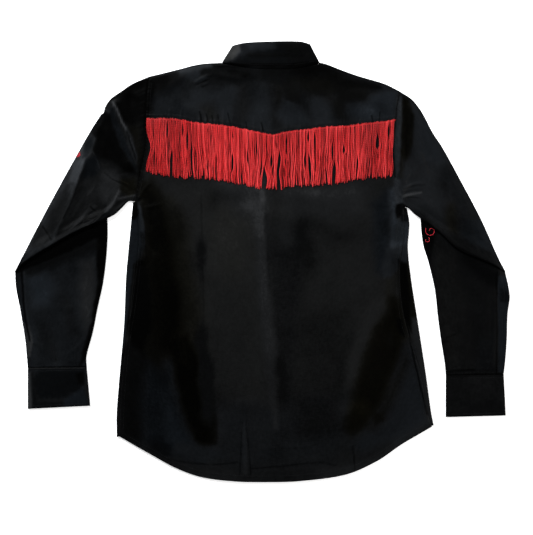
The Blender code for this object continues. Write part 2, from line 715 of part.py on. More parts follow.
# ---------------------------------------------------------------- collar
def make_collar():
    """The leaf: from one front point round the left of the neck, the back and the right to the other."""
    rows, back_columns, front_columns, steps = 4, 10, 4, 4
    back = ruled(curve(LEAF_EDGE), curve(LEAF_FOLD))
    radius = LEAF_TOP / 2
    sheet = Sheet()

    def mirrored(place):
        return Vector((2 * (CENTRE_X + 1) - place.x, place.y))

    def front(side):
        shape = ruled(curve(LEAF_FRONT_EDGE), curve(LEAF_FRONT_FOLD))
        return shape if side < 0 else lambda u, v: mirrored(shape(u, v))

    for j in range(rows + 1):
        v = j / rows
        ends = [back(0, v), back(1, v)]
        inward = Vector((1, 0))
        flats = [ends[0] + inward * radius, ends[1] - inward * radius]
        for i in range(back_columns + 1):
            u = i / back_columns
            place = back(u, v)
            place = place + (flats[0] - ends[0]) * (1 - u) ** 3 + (flats[1] - ends[1]) * u ** 3
            sheet.level(("back", i, j), place, LEAF_TOP, LEAF_TOP - CLOTH)
        for side, flat, out in ((-1, flats[0], -inward), (1, flats[1], inward)):
            shape = front(side)
            start = shape(0, v)
            for i in range(front_columns + 1):
                u = i / front_columns
                place = shape(u, v) + (flat - start) * (1 - u) ** 3
                sheet.level(("front", side, i, j), place, 0.0, CLOTH)
            for n in range(1, steps):
                turn = math.pi * n / steps - math.pi / 2
                middle = Vector((*flat, radius))
                ray = Vector((*(out * math.cos(turn)), math.sin(turn)))
                sheet.point(("turn", side, n, j), middle + ray * radius, middle + ray * (radius - CLOTH))
    line = [("front", -1, i) for i in range(front_columns, -1, -1)]
    line += [("turn", -1, n) for n in range(1, steps)]
    line += [("back", i) for i in range(back_columns + 1)]
    line += [("turn", 1, n) for n in range(steps - 1, 0, -1)]
    line += [("front", 1, i) for i in range(front_columns + 1)]
    sheet.grid([[(*key, j) for key in line] for j in range(rows + 1)])
    sheet_solid("collar", sheet, "cloth_trim")


def make_stand():
    """The band under the leaf, a flattened ring round the neck opening."""
    rows, back_columns, steps = 2, 8, 3
    back_low, back_high = curve(BACK_NECK), curve(STAND_FOLD)
    left_neck, right_neck = curve(LEFT_NECK), curve(RIGHT_NECK)
    half = 0.5 * (1 + (LEFT_NECK[-1][0] - CENTRE_X) / 90)
    marks = [(mark * half, left_neck(mark)) for mark in (0.0, *NECK_MARKS)]
    marks += [(1 - mark * (1 - half), right_neck(mark)) for mark in (*NECK_MARKS[-2::-1], 0.0)]
    front_columns = len(marks) - 1
    front_high = curve(STAND_FRONT_FOLD)
    low_top, high_top = NECK_LIFT, BACK_TOP
    radius = (high_top - low_top) / 2
    middle_height = (high_top + low_top) / 2
    leaf_radius = LEAF_TOP / 2
    sheet = Sheet()
    leaf_low, leaf_high = curve(LEAF_EDGE), curve(LEAF_FOLD)
    for j in range(rows + 1):
        v = j / rows
        flats = []
        for end, inward in ((0, 1), (1, -1)):
            share = 0.12 + 0.80 * v
            edge = leaf_low(end) + (leaf_high(end) - leaf_low(end)) * share
            flats.append(edge + Vector((inward * (leaf_radius + 0.4), 0)))
        for i in range(back_columns + 1):
            u = i / back_columns
            place = back_low(u) + (back_high(u) - back_low(u)) * v + Vector((0, SEAM * (1 - v)))
            start = back_low(0) + (back_high(0) - back_low(0)) * v + Vector((0, SEAM * (1 - v)))
            end = back_low(1) + (back_high(1) - back_low(1)) * v + Vector((0, SEAM * (1 - v)))
            place = place + (flats[0] - start) * (1 - u) ** 4 + (flats[1] - end) * u ** 4
            sheet.level(("back", i, j), place, high_top, high_top - CLOTH)
        ends = [marks[k][1] + (front_high(marks[k][0]) - marks[k][1]) * v for k in (0, -1)]
        for i, (u, low) in enumerate(marks):
            place = low + (front_high(u) - low) * v
            place = place + (flats[0] - ends[0]) * (1 - u) ** 6 + (flats[1] - ends[1]) * u ** 6
            sheet.level(("front", i, j), place, low_top, low_top + CLOTH)
        for side, flat, out in ((0, flats[0], -1), (1, flats[1], 1)):
            for n in range(1, steps):
                turn = math.pi * n / steps - math.pi / 2
                middle = Vector((flat.x, flat.y, middle_height))
                ray = Vector((out * math.cos(turn), 0, math.sin(turn)))
                sheet.point(("turn", side, n, j), middle + ray * radius, middle + ray * (radius - CLOTH))
    ring = [("back", i) for i in range(back_columns + 1)]
    ring += [("turn", 1, n) for n in range(steps - 1, 0, -1)]
    ring += [("front", i) for i in range(front_columns, -1, -1)]
    ring += [("turn", 0, n) for n in range(1, steps)]
    ring += [ring[0]]
    sheet.grid([[(*key, j) for key in ring] for j in range(rows + 1)])
    sheet_solid("collar_stand", sheet, "cloth_trim")


# ---------------------------------------------------------------- fringe
def make_fringe(roof):
    """A tape along the yoke seam whose lower edge parts into cords that lie on the back."""
    seam = curve(YOKE_SEAM)
    marks = [0.002 + 0.996 * i / FRINGE_COUNT for i in range(FRINGE_COUNT + 1)]
    high, low = [], []
    for t in marks:
        place = seam(t)
        high.append(Vector((place.x, place.y - 0.6)))
        low.append(Vector((place.x, place.y - 0.6 - FRINGE_TAPE)))

    def laid(place, lift):
        hit = roof.ray_cast(Vector((place.x, place.y, 50.0)), Vector((0, 0, -1)))[0]
        height = hit.z if hit else BACK_TOP
        return Vector((place.x, place.y, height + lift))

    points, faces = [], []

    def add(place, lift):
        points.append(laid(place, lift))
        return len(points) - 1

    lifts = (FRINGE_LIFT, FRINGE_LIFT + FRINGE_THICK)
    tape = [[add(place, lift) for lift in lifts for place in (top, foot)] for top, foot in zip(high, low)]
    for i in range(FRINGE_COUNT):
        top_a, foot_a, roof_a, eave_a = tape[i]
        top_b, foot_b, roof_b, eave_b = tape[i + 1]
        faces += [(roof_a, eave_a, eave_b, roof_b), (top_a, top_b, foot_b, foot_a)]
        faces += [(top_a, roof_a, roof_b, top_b)]
        root = (low[i] + low[i + 1]) / 2
        tip_y = height_at(root.x, FRINGE_ENDS) + 2.6 * math.sin(i * 2.4) + 1.8 * math.sin(i * 0.83 + 1)
        ring = (foot_a, foot_b, eave_b, eave_a)
        for share in (0.09, 0.5, 1.0):
            lean = 1.1 * math.sin(math.tau * root.x / 31.0 + 0.9) + 0.8 * math.sin(root.x / 11.0)
            middle = Vector((root.x + lean * share, root.y + (tip_y - root.y) * share))
            half = Vector((FRINGE_WIDTH / 2, 0))
            corners = [(middle - half, lifts[0]), (middle + half, lifts[0]),
                       (middle + half, lifts[1]), (middle - half, lifts[1])]
            new = tuple(add(place, lift) for place, lift in corners)
            faces += [(ring[k], ring[(k + 1) % 4], new[(k + 1) % 4], new[k]) for k in range(4)]
            ring = new
        faces.append(ring)
    first, last = tape[0], tape[-1]
    faces += [(first[0], first[1], first[3], first[2]), (last[0], last[2], last[3], last[1])]
    triangles = [(face[0], face[k], face[k + 1]) for face in faces for k in (1, 2)]
    solid("fringe", points, triangles, "cord")


def clear_scene():
    for thing in list(bpy.data.objects):
        bpy.data.objects.remove(thing, do_unlink=True)


def main():
    clear_scene()
    back = make_back()
    make_yoke()
    make_front("front_left", LEFT_SIDE, LEFT_SEAM, LEFT_ARMHOLE, LEFT_SHOULDER, LEFT_NECK,
               CENTRE_X - PLACKET_HALF - SEAM, 1, lambda place: 0.0)
    make_front("front_right", RIGHT_SIDE, RIGHT_SEAM, RIGHT_ARMHOLE, RIGHT_SHOULDER, RIGHT_NECK,
               CENTRE_X - PLACKET_HALF + 2, -1, front_lap)
    make_placket()
    make_collar()
    make_stand()
    left_outlines = (LEFT_ARMHOLE, LEFT_SLEEVE_OUTER, LEFT_SLEEVE_INNER, LEFT_ELBOW, LEFT_FOREARM_OUTER,
                     LEFT_FOREARM_INNER, LEFT_WRIST)
    right_outlines = (RIGHT_ARMHOLE, RIGHT_SLEEVE_OUTER, RIGHT_SLEEVE_INNER, RIGHT_ELBOW, RIGHT_FOREARM_OUTER,
                      RIGHT_FOREARM_INNER, RIGHT_WRIST)
    make_sleeve("sleeve_left", left_outlines, LEFT_SLEEVE_FOLDS, -1)
    make_sleeve("sleeve_right", right_outlines, RIGHT_SLEEVE_FOLDS, 1)
    make_cuff("cuff_left", LEFT_WRIST, LEFT_CUFF)
    make_cuff("cuff_right", RIGHT_WRIST, RIGHT_CUFF)
    make_fringe(back.roof())


main()
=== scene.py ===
"""The western shirt as it looks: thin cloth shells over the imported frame, a cord fringe, stitching, light, camera."""

import math
from functools import cached_property

import bmesh
import bpy
import numpy as np
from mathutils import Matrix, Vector
from mathutils.bvhtree import BVHTree


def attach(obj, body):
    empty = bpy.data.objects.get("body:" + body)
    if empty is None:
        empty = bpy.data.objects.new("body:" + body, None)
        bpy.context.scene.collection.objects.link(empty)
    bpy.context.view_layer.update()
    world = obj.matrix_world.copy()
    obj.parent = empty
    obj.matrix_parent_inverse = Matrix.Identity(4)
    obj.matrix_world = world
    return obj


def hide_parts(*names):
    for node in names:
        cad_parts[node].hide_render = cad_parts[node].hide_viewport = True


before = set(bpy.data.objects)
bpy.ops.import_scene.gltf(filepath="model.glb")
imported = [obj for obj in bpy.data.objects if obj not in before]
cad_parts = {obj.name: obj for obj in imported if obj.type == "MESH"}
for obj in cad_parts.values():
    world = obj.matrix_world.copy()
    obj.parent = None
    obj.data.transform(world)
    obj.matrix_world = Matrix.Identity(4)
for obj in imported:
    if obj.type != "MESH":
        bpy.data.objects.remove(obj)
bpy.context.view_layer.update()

MM = 0.001
CREASE_GAIN = 1.15       # how boldly the listed creases stand
UNIT = 1.9               # millimetres to a step of the view grid, whose (0, 0) is the view's upper left corner
VIEW_X, VIEW_Y = 261.5, 262.0
BASE_TONE = 0.35         # the cloth's tone where no patch lies
UNDERSIDE_SHADE_TONE = -0.10       # painted shade, on the hidden underside and low on the edges' rims
STROKE_COVER = 0.7       # how much of the tone below it a stroke covers

# ---------------------------------------------------------------- sizes shared with the solids (millimetres)
SEAM = 0.3
JOIN = 0.08              # between two cloths sewn edge to edge, each side
BACK_TOP = 4.2
FOREARM_TOP = 3.8
CUFF_TOP = 4.6
LEAF_TOP = 5.7
NECK_LIFT = 1.5
CENTRE_X = 18.0
PLACKET_HALF = 19.0
FRINGE_MIDDLE = 205
HEM_LIFT = 3.0           # how much shorter the fronts and their band are than the back
FLOOR_GAP = 0.15         # the cloth that rests lies this far above the floor

HEM = [(-275, -332), (-218, -362.5), (-161, -392.5), (-115, -408.5), (-48, -416.5), (12, -417.5), (73, -415.5),
       (159, -403.5), (219, -377.5), (265, -347), (327, -310.5)]
LEFT_SIDE = [(-275, -332), (-275, -285), (-269, -209), (-261, -118), (-257, -27), (-250, 49), (-244, 114)]
RIGHT_SIDE = [(327, -310), (322, -285), (311.5, -209), (297.5, -118), (283.5, -27), (278, 28), (281, 72), (276, 103)]
LEFT_SEAM = [(-271, -330), (-268, -255), (-264, -205), (-256, -139), (-246, -76), (-237, 0), (-233, 45), (-238, 114)]
RIGHT_SEAM = [(323, -312), (315, -285), (303, -217), (288, -162), (274, -116), (265, -60), (264, 0), (271, 50),
              (271, 103)]
LEFT_ARMHOLE = [(-242, 115), (-239, 126), (-233, 156), (-227, 184), (-220, 224), (-219, 274), (-218, 308),
                (-214, 352)]
RIGHT_ARMHOLE = [(274, 104), (266, 130), (256, 162), (252, 184), (251, 213), (255, 273), (257, 296), (263, 324)]
YOKE_CORNER = 5
LEFT_SHOULDER = [(-214, 352), (-189, 358), (-159, 365.5), (-115, 376), (-71, 378.5)]
RIGHT_SHOULDER = [(109, 379), (123, 376), (151, 365), (185, 353), (235, 338), (263, 324)]
BACK_NECK = [(-71, 376), (-31, 372), (18, 370), (67, 372), (109, 376.2)]
LEFT_NECK = [(-71, 378.5), (-58, 340), (-33, 306), (0, 291)]
RIGHT_NECK = [(109, 379), (95, 341), (69, 308), (36, 291), (0, 291)]
YOKE_SEAM = [(-219, 274), (-164, 273), (-124, 266), (-67, 260), (-29, 253), (9, 245), (22, 243), (47, 249), (85, 253),
             (123, 258), (161, 260), (199, 265), (237, 269), (255, 273)]
FRINGE_ENDS = [(-219, 175), (-200, 170), (-162, 165), (-124, 163), (-86, 160), (-48, 153), (-10, 144), (28, 142),
               (47, 145), (85, 149), (123, 150), (180, 159), (218, 163), (250, 166)]
LEAF_FOLD = [(-55, 411), (-31, 415.5), (18, 418), (73, 418), (92, 414)]
LEAF_EDGE = [(-75, 379), (-31, 370), (18, 367), (67, 368.5), (110.8, 377.5)]
LEAF_FRONT_FOLD = [(-55, 411), (-38, 370), (-22, 340), (6, 324)]
LEAF_FRONT_EDGE = [(-75, 379), (-76, 340), (-62, 298), (-46, 260)]
STAND_FOLD = [(-46, 407), (-31, 412), (18, 415), (73, 415), (87, 411)]
STAND_FRONT_FOLD = [(-46, 407), (-34, 368), (-14, 340), (18, 328), (50, 340), (74, 370), (87, 411)]

LEFT_SLEEVE_OUTER = [(-214, 352), (-246, 338), (-265, 325), (-284, 312), (-294, 300), (-307, 277), (-326, 247),
                     (-352, 201), (-394, 125), (-434, 49), (-468, -19)]
LEFT_SLEEVE_INNER = [(-242, 115), (-252.5, 115), (-265.6, 102), (-278, 90.4), (-292.5, 82)]
LEFT_ELBOW = [(-468, -19), (-444, 2), (-406, 26), (-364, 50), (-332, 66), (-292.5, 82)]
LEFT_FOREARM_OUTER = [(-468, -19), (-467, -42), (-465, -57), (-459, -87), (-449, -148), (-446, -179), (-444, -201)]
LEFT_FOREARM_INNER = [(-292.5, 82), (-292.3, 49), (-295.3, 4), (-301.3, -42), (-311.2, -87), (-320.3, -133),
                      (-332.4, -179), (-332, -200)]
LEFT_WRIST = [(-444, -201), (-332, -200)]
LEFT_CUFF = [(-444, -279), (-325.3, -273)]
RIGHT_SLEEVE_OUTER = [(263, 324), (285, 309.5), (299, 293), (309, 277), (324.5, 247), (344, 217), (377.5, 156),
                      (417.5, 80), (451, 4), (463, -19)]
RIGHT_SLEEVE_INNER = [(274, 104), (279.5, 101.5), (288.5, 92.5), (302, 82)]
RIGHT_ELBOW = [(463, -19), (436, -4), (411, 6), (385, 17), (364, 30), (339, 54), (302, 82)]
RIGHT_FOREARM_OUTER = [(463, -19), (469, -46), (471.5, -68), (467.5, -99), (466, -148), (462.5, -194), (460, -213)]
RIGHT_FOREARM_INNER = [(302, 82), (303, 65), (307, 34), (316, 4), (324, -27), (330, -57), (335, -103), (341, -148),
                       (348.3, -194), (350, -215)]
RIGHT_WRIST = [(460, -213), (350, -215)]
RIGHT_CUFF = [(464, -291.5), (349.8, -294.5)]

# How far each elbow's upper layer folds under: share of the width from the outer edge, turn in degrees, depth.
ELBOW_TUCK = [(0.0, 60, 0), (0.08, 112, 0), (0.2, 152, 1), (0.32, 174, 6), (0.48, 176, 11), (0.64, 177, 15),
              (0.8, 176, 13), (0.92, 140, 1), (1.0, 60, 0)]

# The solids' soft folds, in millimetres: x0, y0, x1, y1, half width, rise.
BODY_FOLDS = [
    (-5, 140, 2, -15, 17, 1.2), (2, -15, 23, -345, 20, 2.6), (-112, 110, -108, -220, 12, -0.6),
    (-226, 90, -222, 10, 14, 2.4), (250, 92, 246, 20, 14, 1.8), (240, 0, 252, -64, 16, -0.8),
    (170, -310, 176, -390, 12, 1.2), (-33, -270, -34, -400, 13, 1.9), (-180, 60, -204, -260, 34, 1.6),
    (195, -40, 222, -260, 36, 1.6), (90, -120, 110, -300, 30, 0.9), (-110, 352, -125, 339, 12, 0.8),
]
LEFT_SLEEVE_FOLDS = [
    (-284, 303, -244, 186, 15, 3), (-333, 195, -364, 118, 16, 2), (-364, 118, -390, 56, 16, 2.2),
    (-271, 126, -286, 104, 12, 1.4), (-324, 121, -350, 90, 14, 1.6), (-394, -100, -392, -190, 14, -0.8),
    (-366, -90, -357, -185, 15, 1.9), (-424, -95, -422, -190, 15, 1.8),
]
RIGHT_SLEEVE_FOLDS = [
    (282, 292, 280, 175, 15, 2.8), (342, 178, 362, 190, 13, 1.3), (330, 150, 390, 40, 18, 1.8),
    (430, -60, 432, -190, 16, 1.9), (372, -60, 384, -190, 15, 1.7),
]

# ---------------------------------------------------------------- creases, listed in steps of the view grid
# x0, y0, x1, y1, bow, width on the right of the line, width on its left, rise in millimetres
BODY_CREASES = [
    # the soft ridge down the middle
    (259, 180, 274, 452, -2, 3, 7.5, 0.75),
    # pressed creases
    (202, 184, 205, 474, 0, 0.8, 0.8, -0.2), (204, 184, 207, 474, 0, 1.2, 1.2, 0.12),
    (351, 437, 354, 470, 0, 0.9, 0.9, 0.55), (353, 437, 356, 470, 0, 0.9, 0.9, -0.3),
    (330, 178, 334, 268, 1, 2.2, 3.4, 0.35),
    # the hem's tuck
    (244, 402, 240, 474, 0, 0.9, 1.4, -0.6), (244, 402, 251, 474, 0, 1.4, 0.9, -0.6),
    (244, 410, 245.5, 474, 0, 2, 2, 0.75),
    # round the left armpit
    (141, 204, 146, 232, -2, 2, 3, 1.7), (140, 212, 152, 222, 1, 1.6, 2.2, 0.8),
    (142, 208, 162, 204, -1, 1.8, 2.4, 0.6), (143, 232, 146, 256, 2, 2, 3.5, 1.2),
    (147, 236, 154, 252, -1, 2.4, 3, -0.8), (140, 198, 150, 184, 1, 1.6, 2, 0.7),
    # round the right armpit
    (399, 196, 388, 212, 1, 2, 2.6, 0.8), (400, 212, 394, 238, -2, 2.4, 3, 1.3),
    (402, 226, 405, 244, 1, 1.6, 2.2, -0.9), (404, 236, 398, 258, 1, 1.8, 2.6, 1.5),
    (400, 258, 403, 298, 1, 1.6, 2, -1.2), (395, 250, 388, 268, 1, 3, 4, 0.8), (398, 204, 384, 205, 1, 1.5, 2, 0.5),
    # broad rolls of the back
    (176, 196, 184, 300, 6, 12, 16, -0.9), (184, 300, 214, 440, 4, 11, 14, -1.2),
    (158, 262, 150, 380, -3, 8, 12, 0.8), (400, 262, 356, 442, 5, 12, 10, -1.2), (412, 300, 392, 430, 3, 8, 9, 0.9),
    (372, 300, 340, 420, 6, 12, 12, 0.8), (232, 206, 226, 420, 3, 14, 16, 0.6), (300, 210, 318, 380, -4, 16, 20, 0.7),
    (286, 310, 296, 446, 2, 7, 10, -0.7), (318, 290, 330, 300, 1, 3, 4, 0.3), (150, 440, 176, 470, 2, 4, 6, 0.5),
    (214, 452, 262, 464, -2, 3, 4, 0.5), (282, 466, 330, 458, 2, 3, 4, 0.5), (362, 440, 392, 424, 2, 4, 5, 0.5),
    (186, 240, 196, 262, 2, 3, 4, 0.35), (216, 330, 222, 362, -1, 3, 4, 0.3), (336, 236, 326, 262, 1, 3, 4, 0.35),
    (360, 210, 372, 232, 1, 3, 4, 0.4),
    # the yoke
    (196, 83, 210, 76, 1, 1.2, 2, 0.9), (196, 86, 206, 82, 1, 1.2, 1.6, -0.5), (170, 86, 196, 74, 2, 4, 5, 0.8),
    (152, 96, 176, 104, 2, 5, 7, 0.7), (214, 74, 250, 78, -2, 3, 4, 0.8), (226, 88, 240, 108, 2, 5, 7, 0.8),
    (262, 72, 264, 96, 1, 4, 5, 0.5), (276, 82, 288, 122, 2, 5, 6, -0.9), (300, 80, 306, 120, -1, 5, 6, 0.8),
    (318, 92, 322, 118, 1, 4, 5, -0.7), (334, 88, 330, 122, -1, 4, 6, 0.8), (346, 80, 384, 88, 3, 3, 5, 0.9),
    (350, 88, 380, 94, 2, 3, 4, -0.7), (370, 100, 388, 112, 1, 4, 5, 0.6), (156, 82, 150, 112, 1, 3, 4, -0.7),
    # gathers above the yoke seam
    (201, 112, 199, 123, 0, 1, 1.3, 0.55), (208, 108, 206, 124, 0, 1, 1.4, 0.6), (216, 114, 215, 125, 0, 1, 1.2, 0.5),
    (224, 110, 223, 126, 0, 1.1, 1.4, 0.6), (233, 115, 232, 127, 0, 1, 1.2, 0.5),
    (242, 112, 243, 128, 0, 1.1, 1.3, 0.55), (254, 118, 255, 130, 0, 1, 1.2, 0.5),
    (262, 112, 262, 132, 0, 1, 1.3, 0.55), (272, 120, 271, 133, 0, 1, 1.2, 0.4), (286, 118, 287, 131, 0, 1, 1.2, 0.4),
    (300, 116, 301, 130, 0, 1.1, 1.3, 0.45), (316, 114, 317, 128, 0, 1, 1.2, 0.4),
    (344, 112, 345, 126, 0, 1, 1.2, 0.4), (362, 108, 361, 124, 0, 1, 1.3, 0.55), (371, 112, 370, 123, 0, 1, 1.2, 0.5),
    (380, 108, 379, 122, 0, 1, 1.3, 0.55), (389, 110, 388, 121, 0, 1, 1.2, 0.5),
    (170, 110, 170, 118, 0, 1, 1.2, 0.35), (182, 108, 181, 119, 0, 1, 1.2, 0.4),
]
LEFT_SLEEVE_CREASES = [
    (111, 100, 138, 166, -2, 1.6, 4.5, 2.6), (104, 104, 128, 158, -2, 3.5, 3, -1.6),
    (107, 108, 114, 112, 1, 1.3, 1.6, 1.1), (104, 112, 112, 118, 1, 1.3, 1.6, -0.8), (118, 92, 140, 98, 3, 4, 5, 0.9),
    (130, 82, 136, 120, -2, 4, 5, -1.1), (144, 100, 141, 150, 2, 3.5, 3, 0.8), (88, 136, 112, 176, -5, 5, 8, -1.2),
    (92, 122, 120, 152, 4, 6, 6, 0.9), (84, 156, 70, 200, 2, 1.4, 3.6, 1.1), (70, 200, 54, 238, -1, 1.4, 3.4, 1.2),
    (89, 161, 76, 200, 2, 2.4, 3, -0.9), (119, 194, 107, 216, 1, 1.8, 2.6, 1.3),
    (112, 196, 102, 214, 1, 2, 2.4, -0.8), (91, 206, 70, 231, 2, 1.8, 3.4, 1.4),
    (84, 206, 66, 228, 2, 2.4, 2.6, -0.9), (98, 172, 116, 184, -2, 5, 6, 1.2), (126, 176, 138, 198, 2, 2.4, 3, 1),
    (118, 182, 136, 202, 3, 2, 2.6, -0.8), (60, 222, 40, 248, 2, 2.4, 3.4, 0.9), (46, 216, 28, 256, -1, 2.6, 3, 0.7),
    (96, 184, 88, 196, 1, 1.4, 2, 0.5), (76, 190, 84, 186, 1, 1.4, 2, 0.5),
    # forearm
    (54, 286, 58, 330, 2, 6, 8, 0.7), (96, 262, 88, 330, 2, 4, 5, 0.8), (104, 250, 98, 300, 1, 3, 3, -0.6),
    (40, 296, 60, 300, 1, 2, 3, 0.25), (44, 312, 74, 308, 1, 2, 3, 0.25), (30, 340, 46, 352, 1, 2, 2.6, 0.8),
    (84, 340, 68, 354, 1, 2, 2.6, 0.9), (54, 346, 56, 362, 0, 1.2, 1.6, -0.7), (50, 342, 52, 362, 0, 1.4, 2, 0.6),
]
RIGHT_SLEEVE_CREASES = [
    (407, 97, 405, 172, 1, 2.8, 3.6, -1.5), (401, 98, 400, 170, 0, 2, 2.6, 0.9), (414, 108, 418, 160, 2, 4, 6, 0.9),
    (402, 190, 424, 184, 2, 1.1, 1.6, 1.5), (402, 198, 418, 197, 1, 1.1, 1.6, 1.1),
    (404, 194, 420, 191, 1, 1.3, 1.3, -0.9), (412, 178, 428, 160, 2, 2.4, 3.4, 0.8),
    (446, 163, 454, 160, 1, 1.4, 2.4, 0.9), (438, 150, 452, 176, 3, 6, 7, 0.8), (424, 200, 448, 222, -2, 3, 4, 0.9),
    (452, 180, 470, 236, 4, 6, 8, 0.9), (466, 196, 488, 252, -2, 4, 5, 0.7), (456, 238, 480, 246, 2, 2, 3, 0.8),
    (430, 208, 440, 230, 2, 2, 3, 0.7),
    # forearm
    (452, 262, 460, 330, -3, 6, 8, 0.8), (478, 284, 480, 350, 2, 6, 6, 0.7), (494, 290, 492, 366, 1, 2.4, 3, 0.8),
    (446, 372, 474, 369, 0.6, 0.9, 1.6, 1), (446, 374.4, 476, 371.6, 0.6, 0.9, 0.9, -0.8),
    (474, 369, 500, 371, 0.6, 0.9, 1.4, 0.5), (440, 300, 446, 350, 1, 3, 4, 0.5),
]
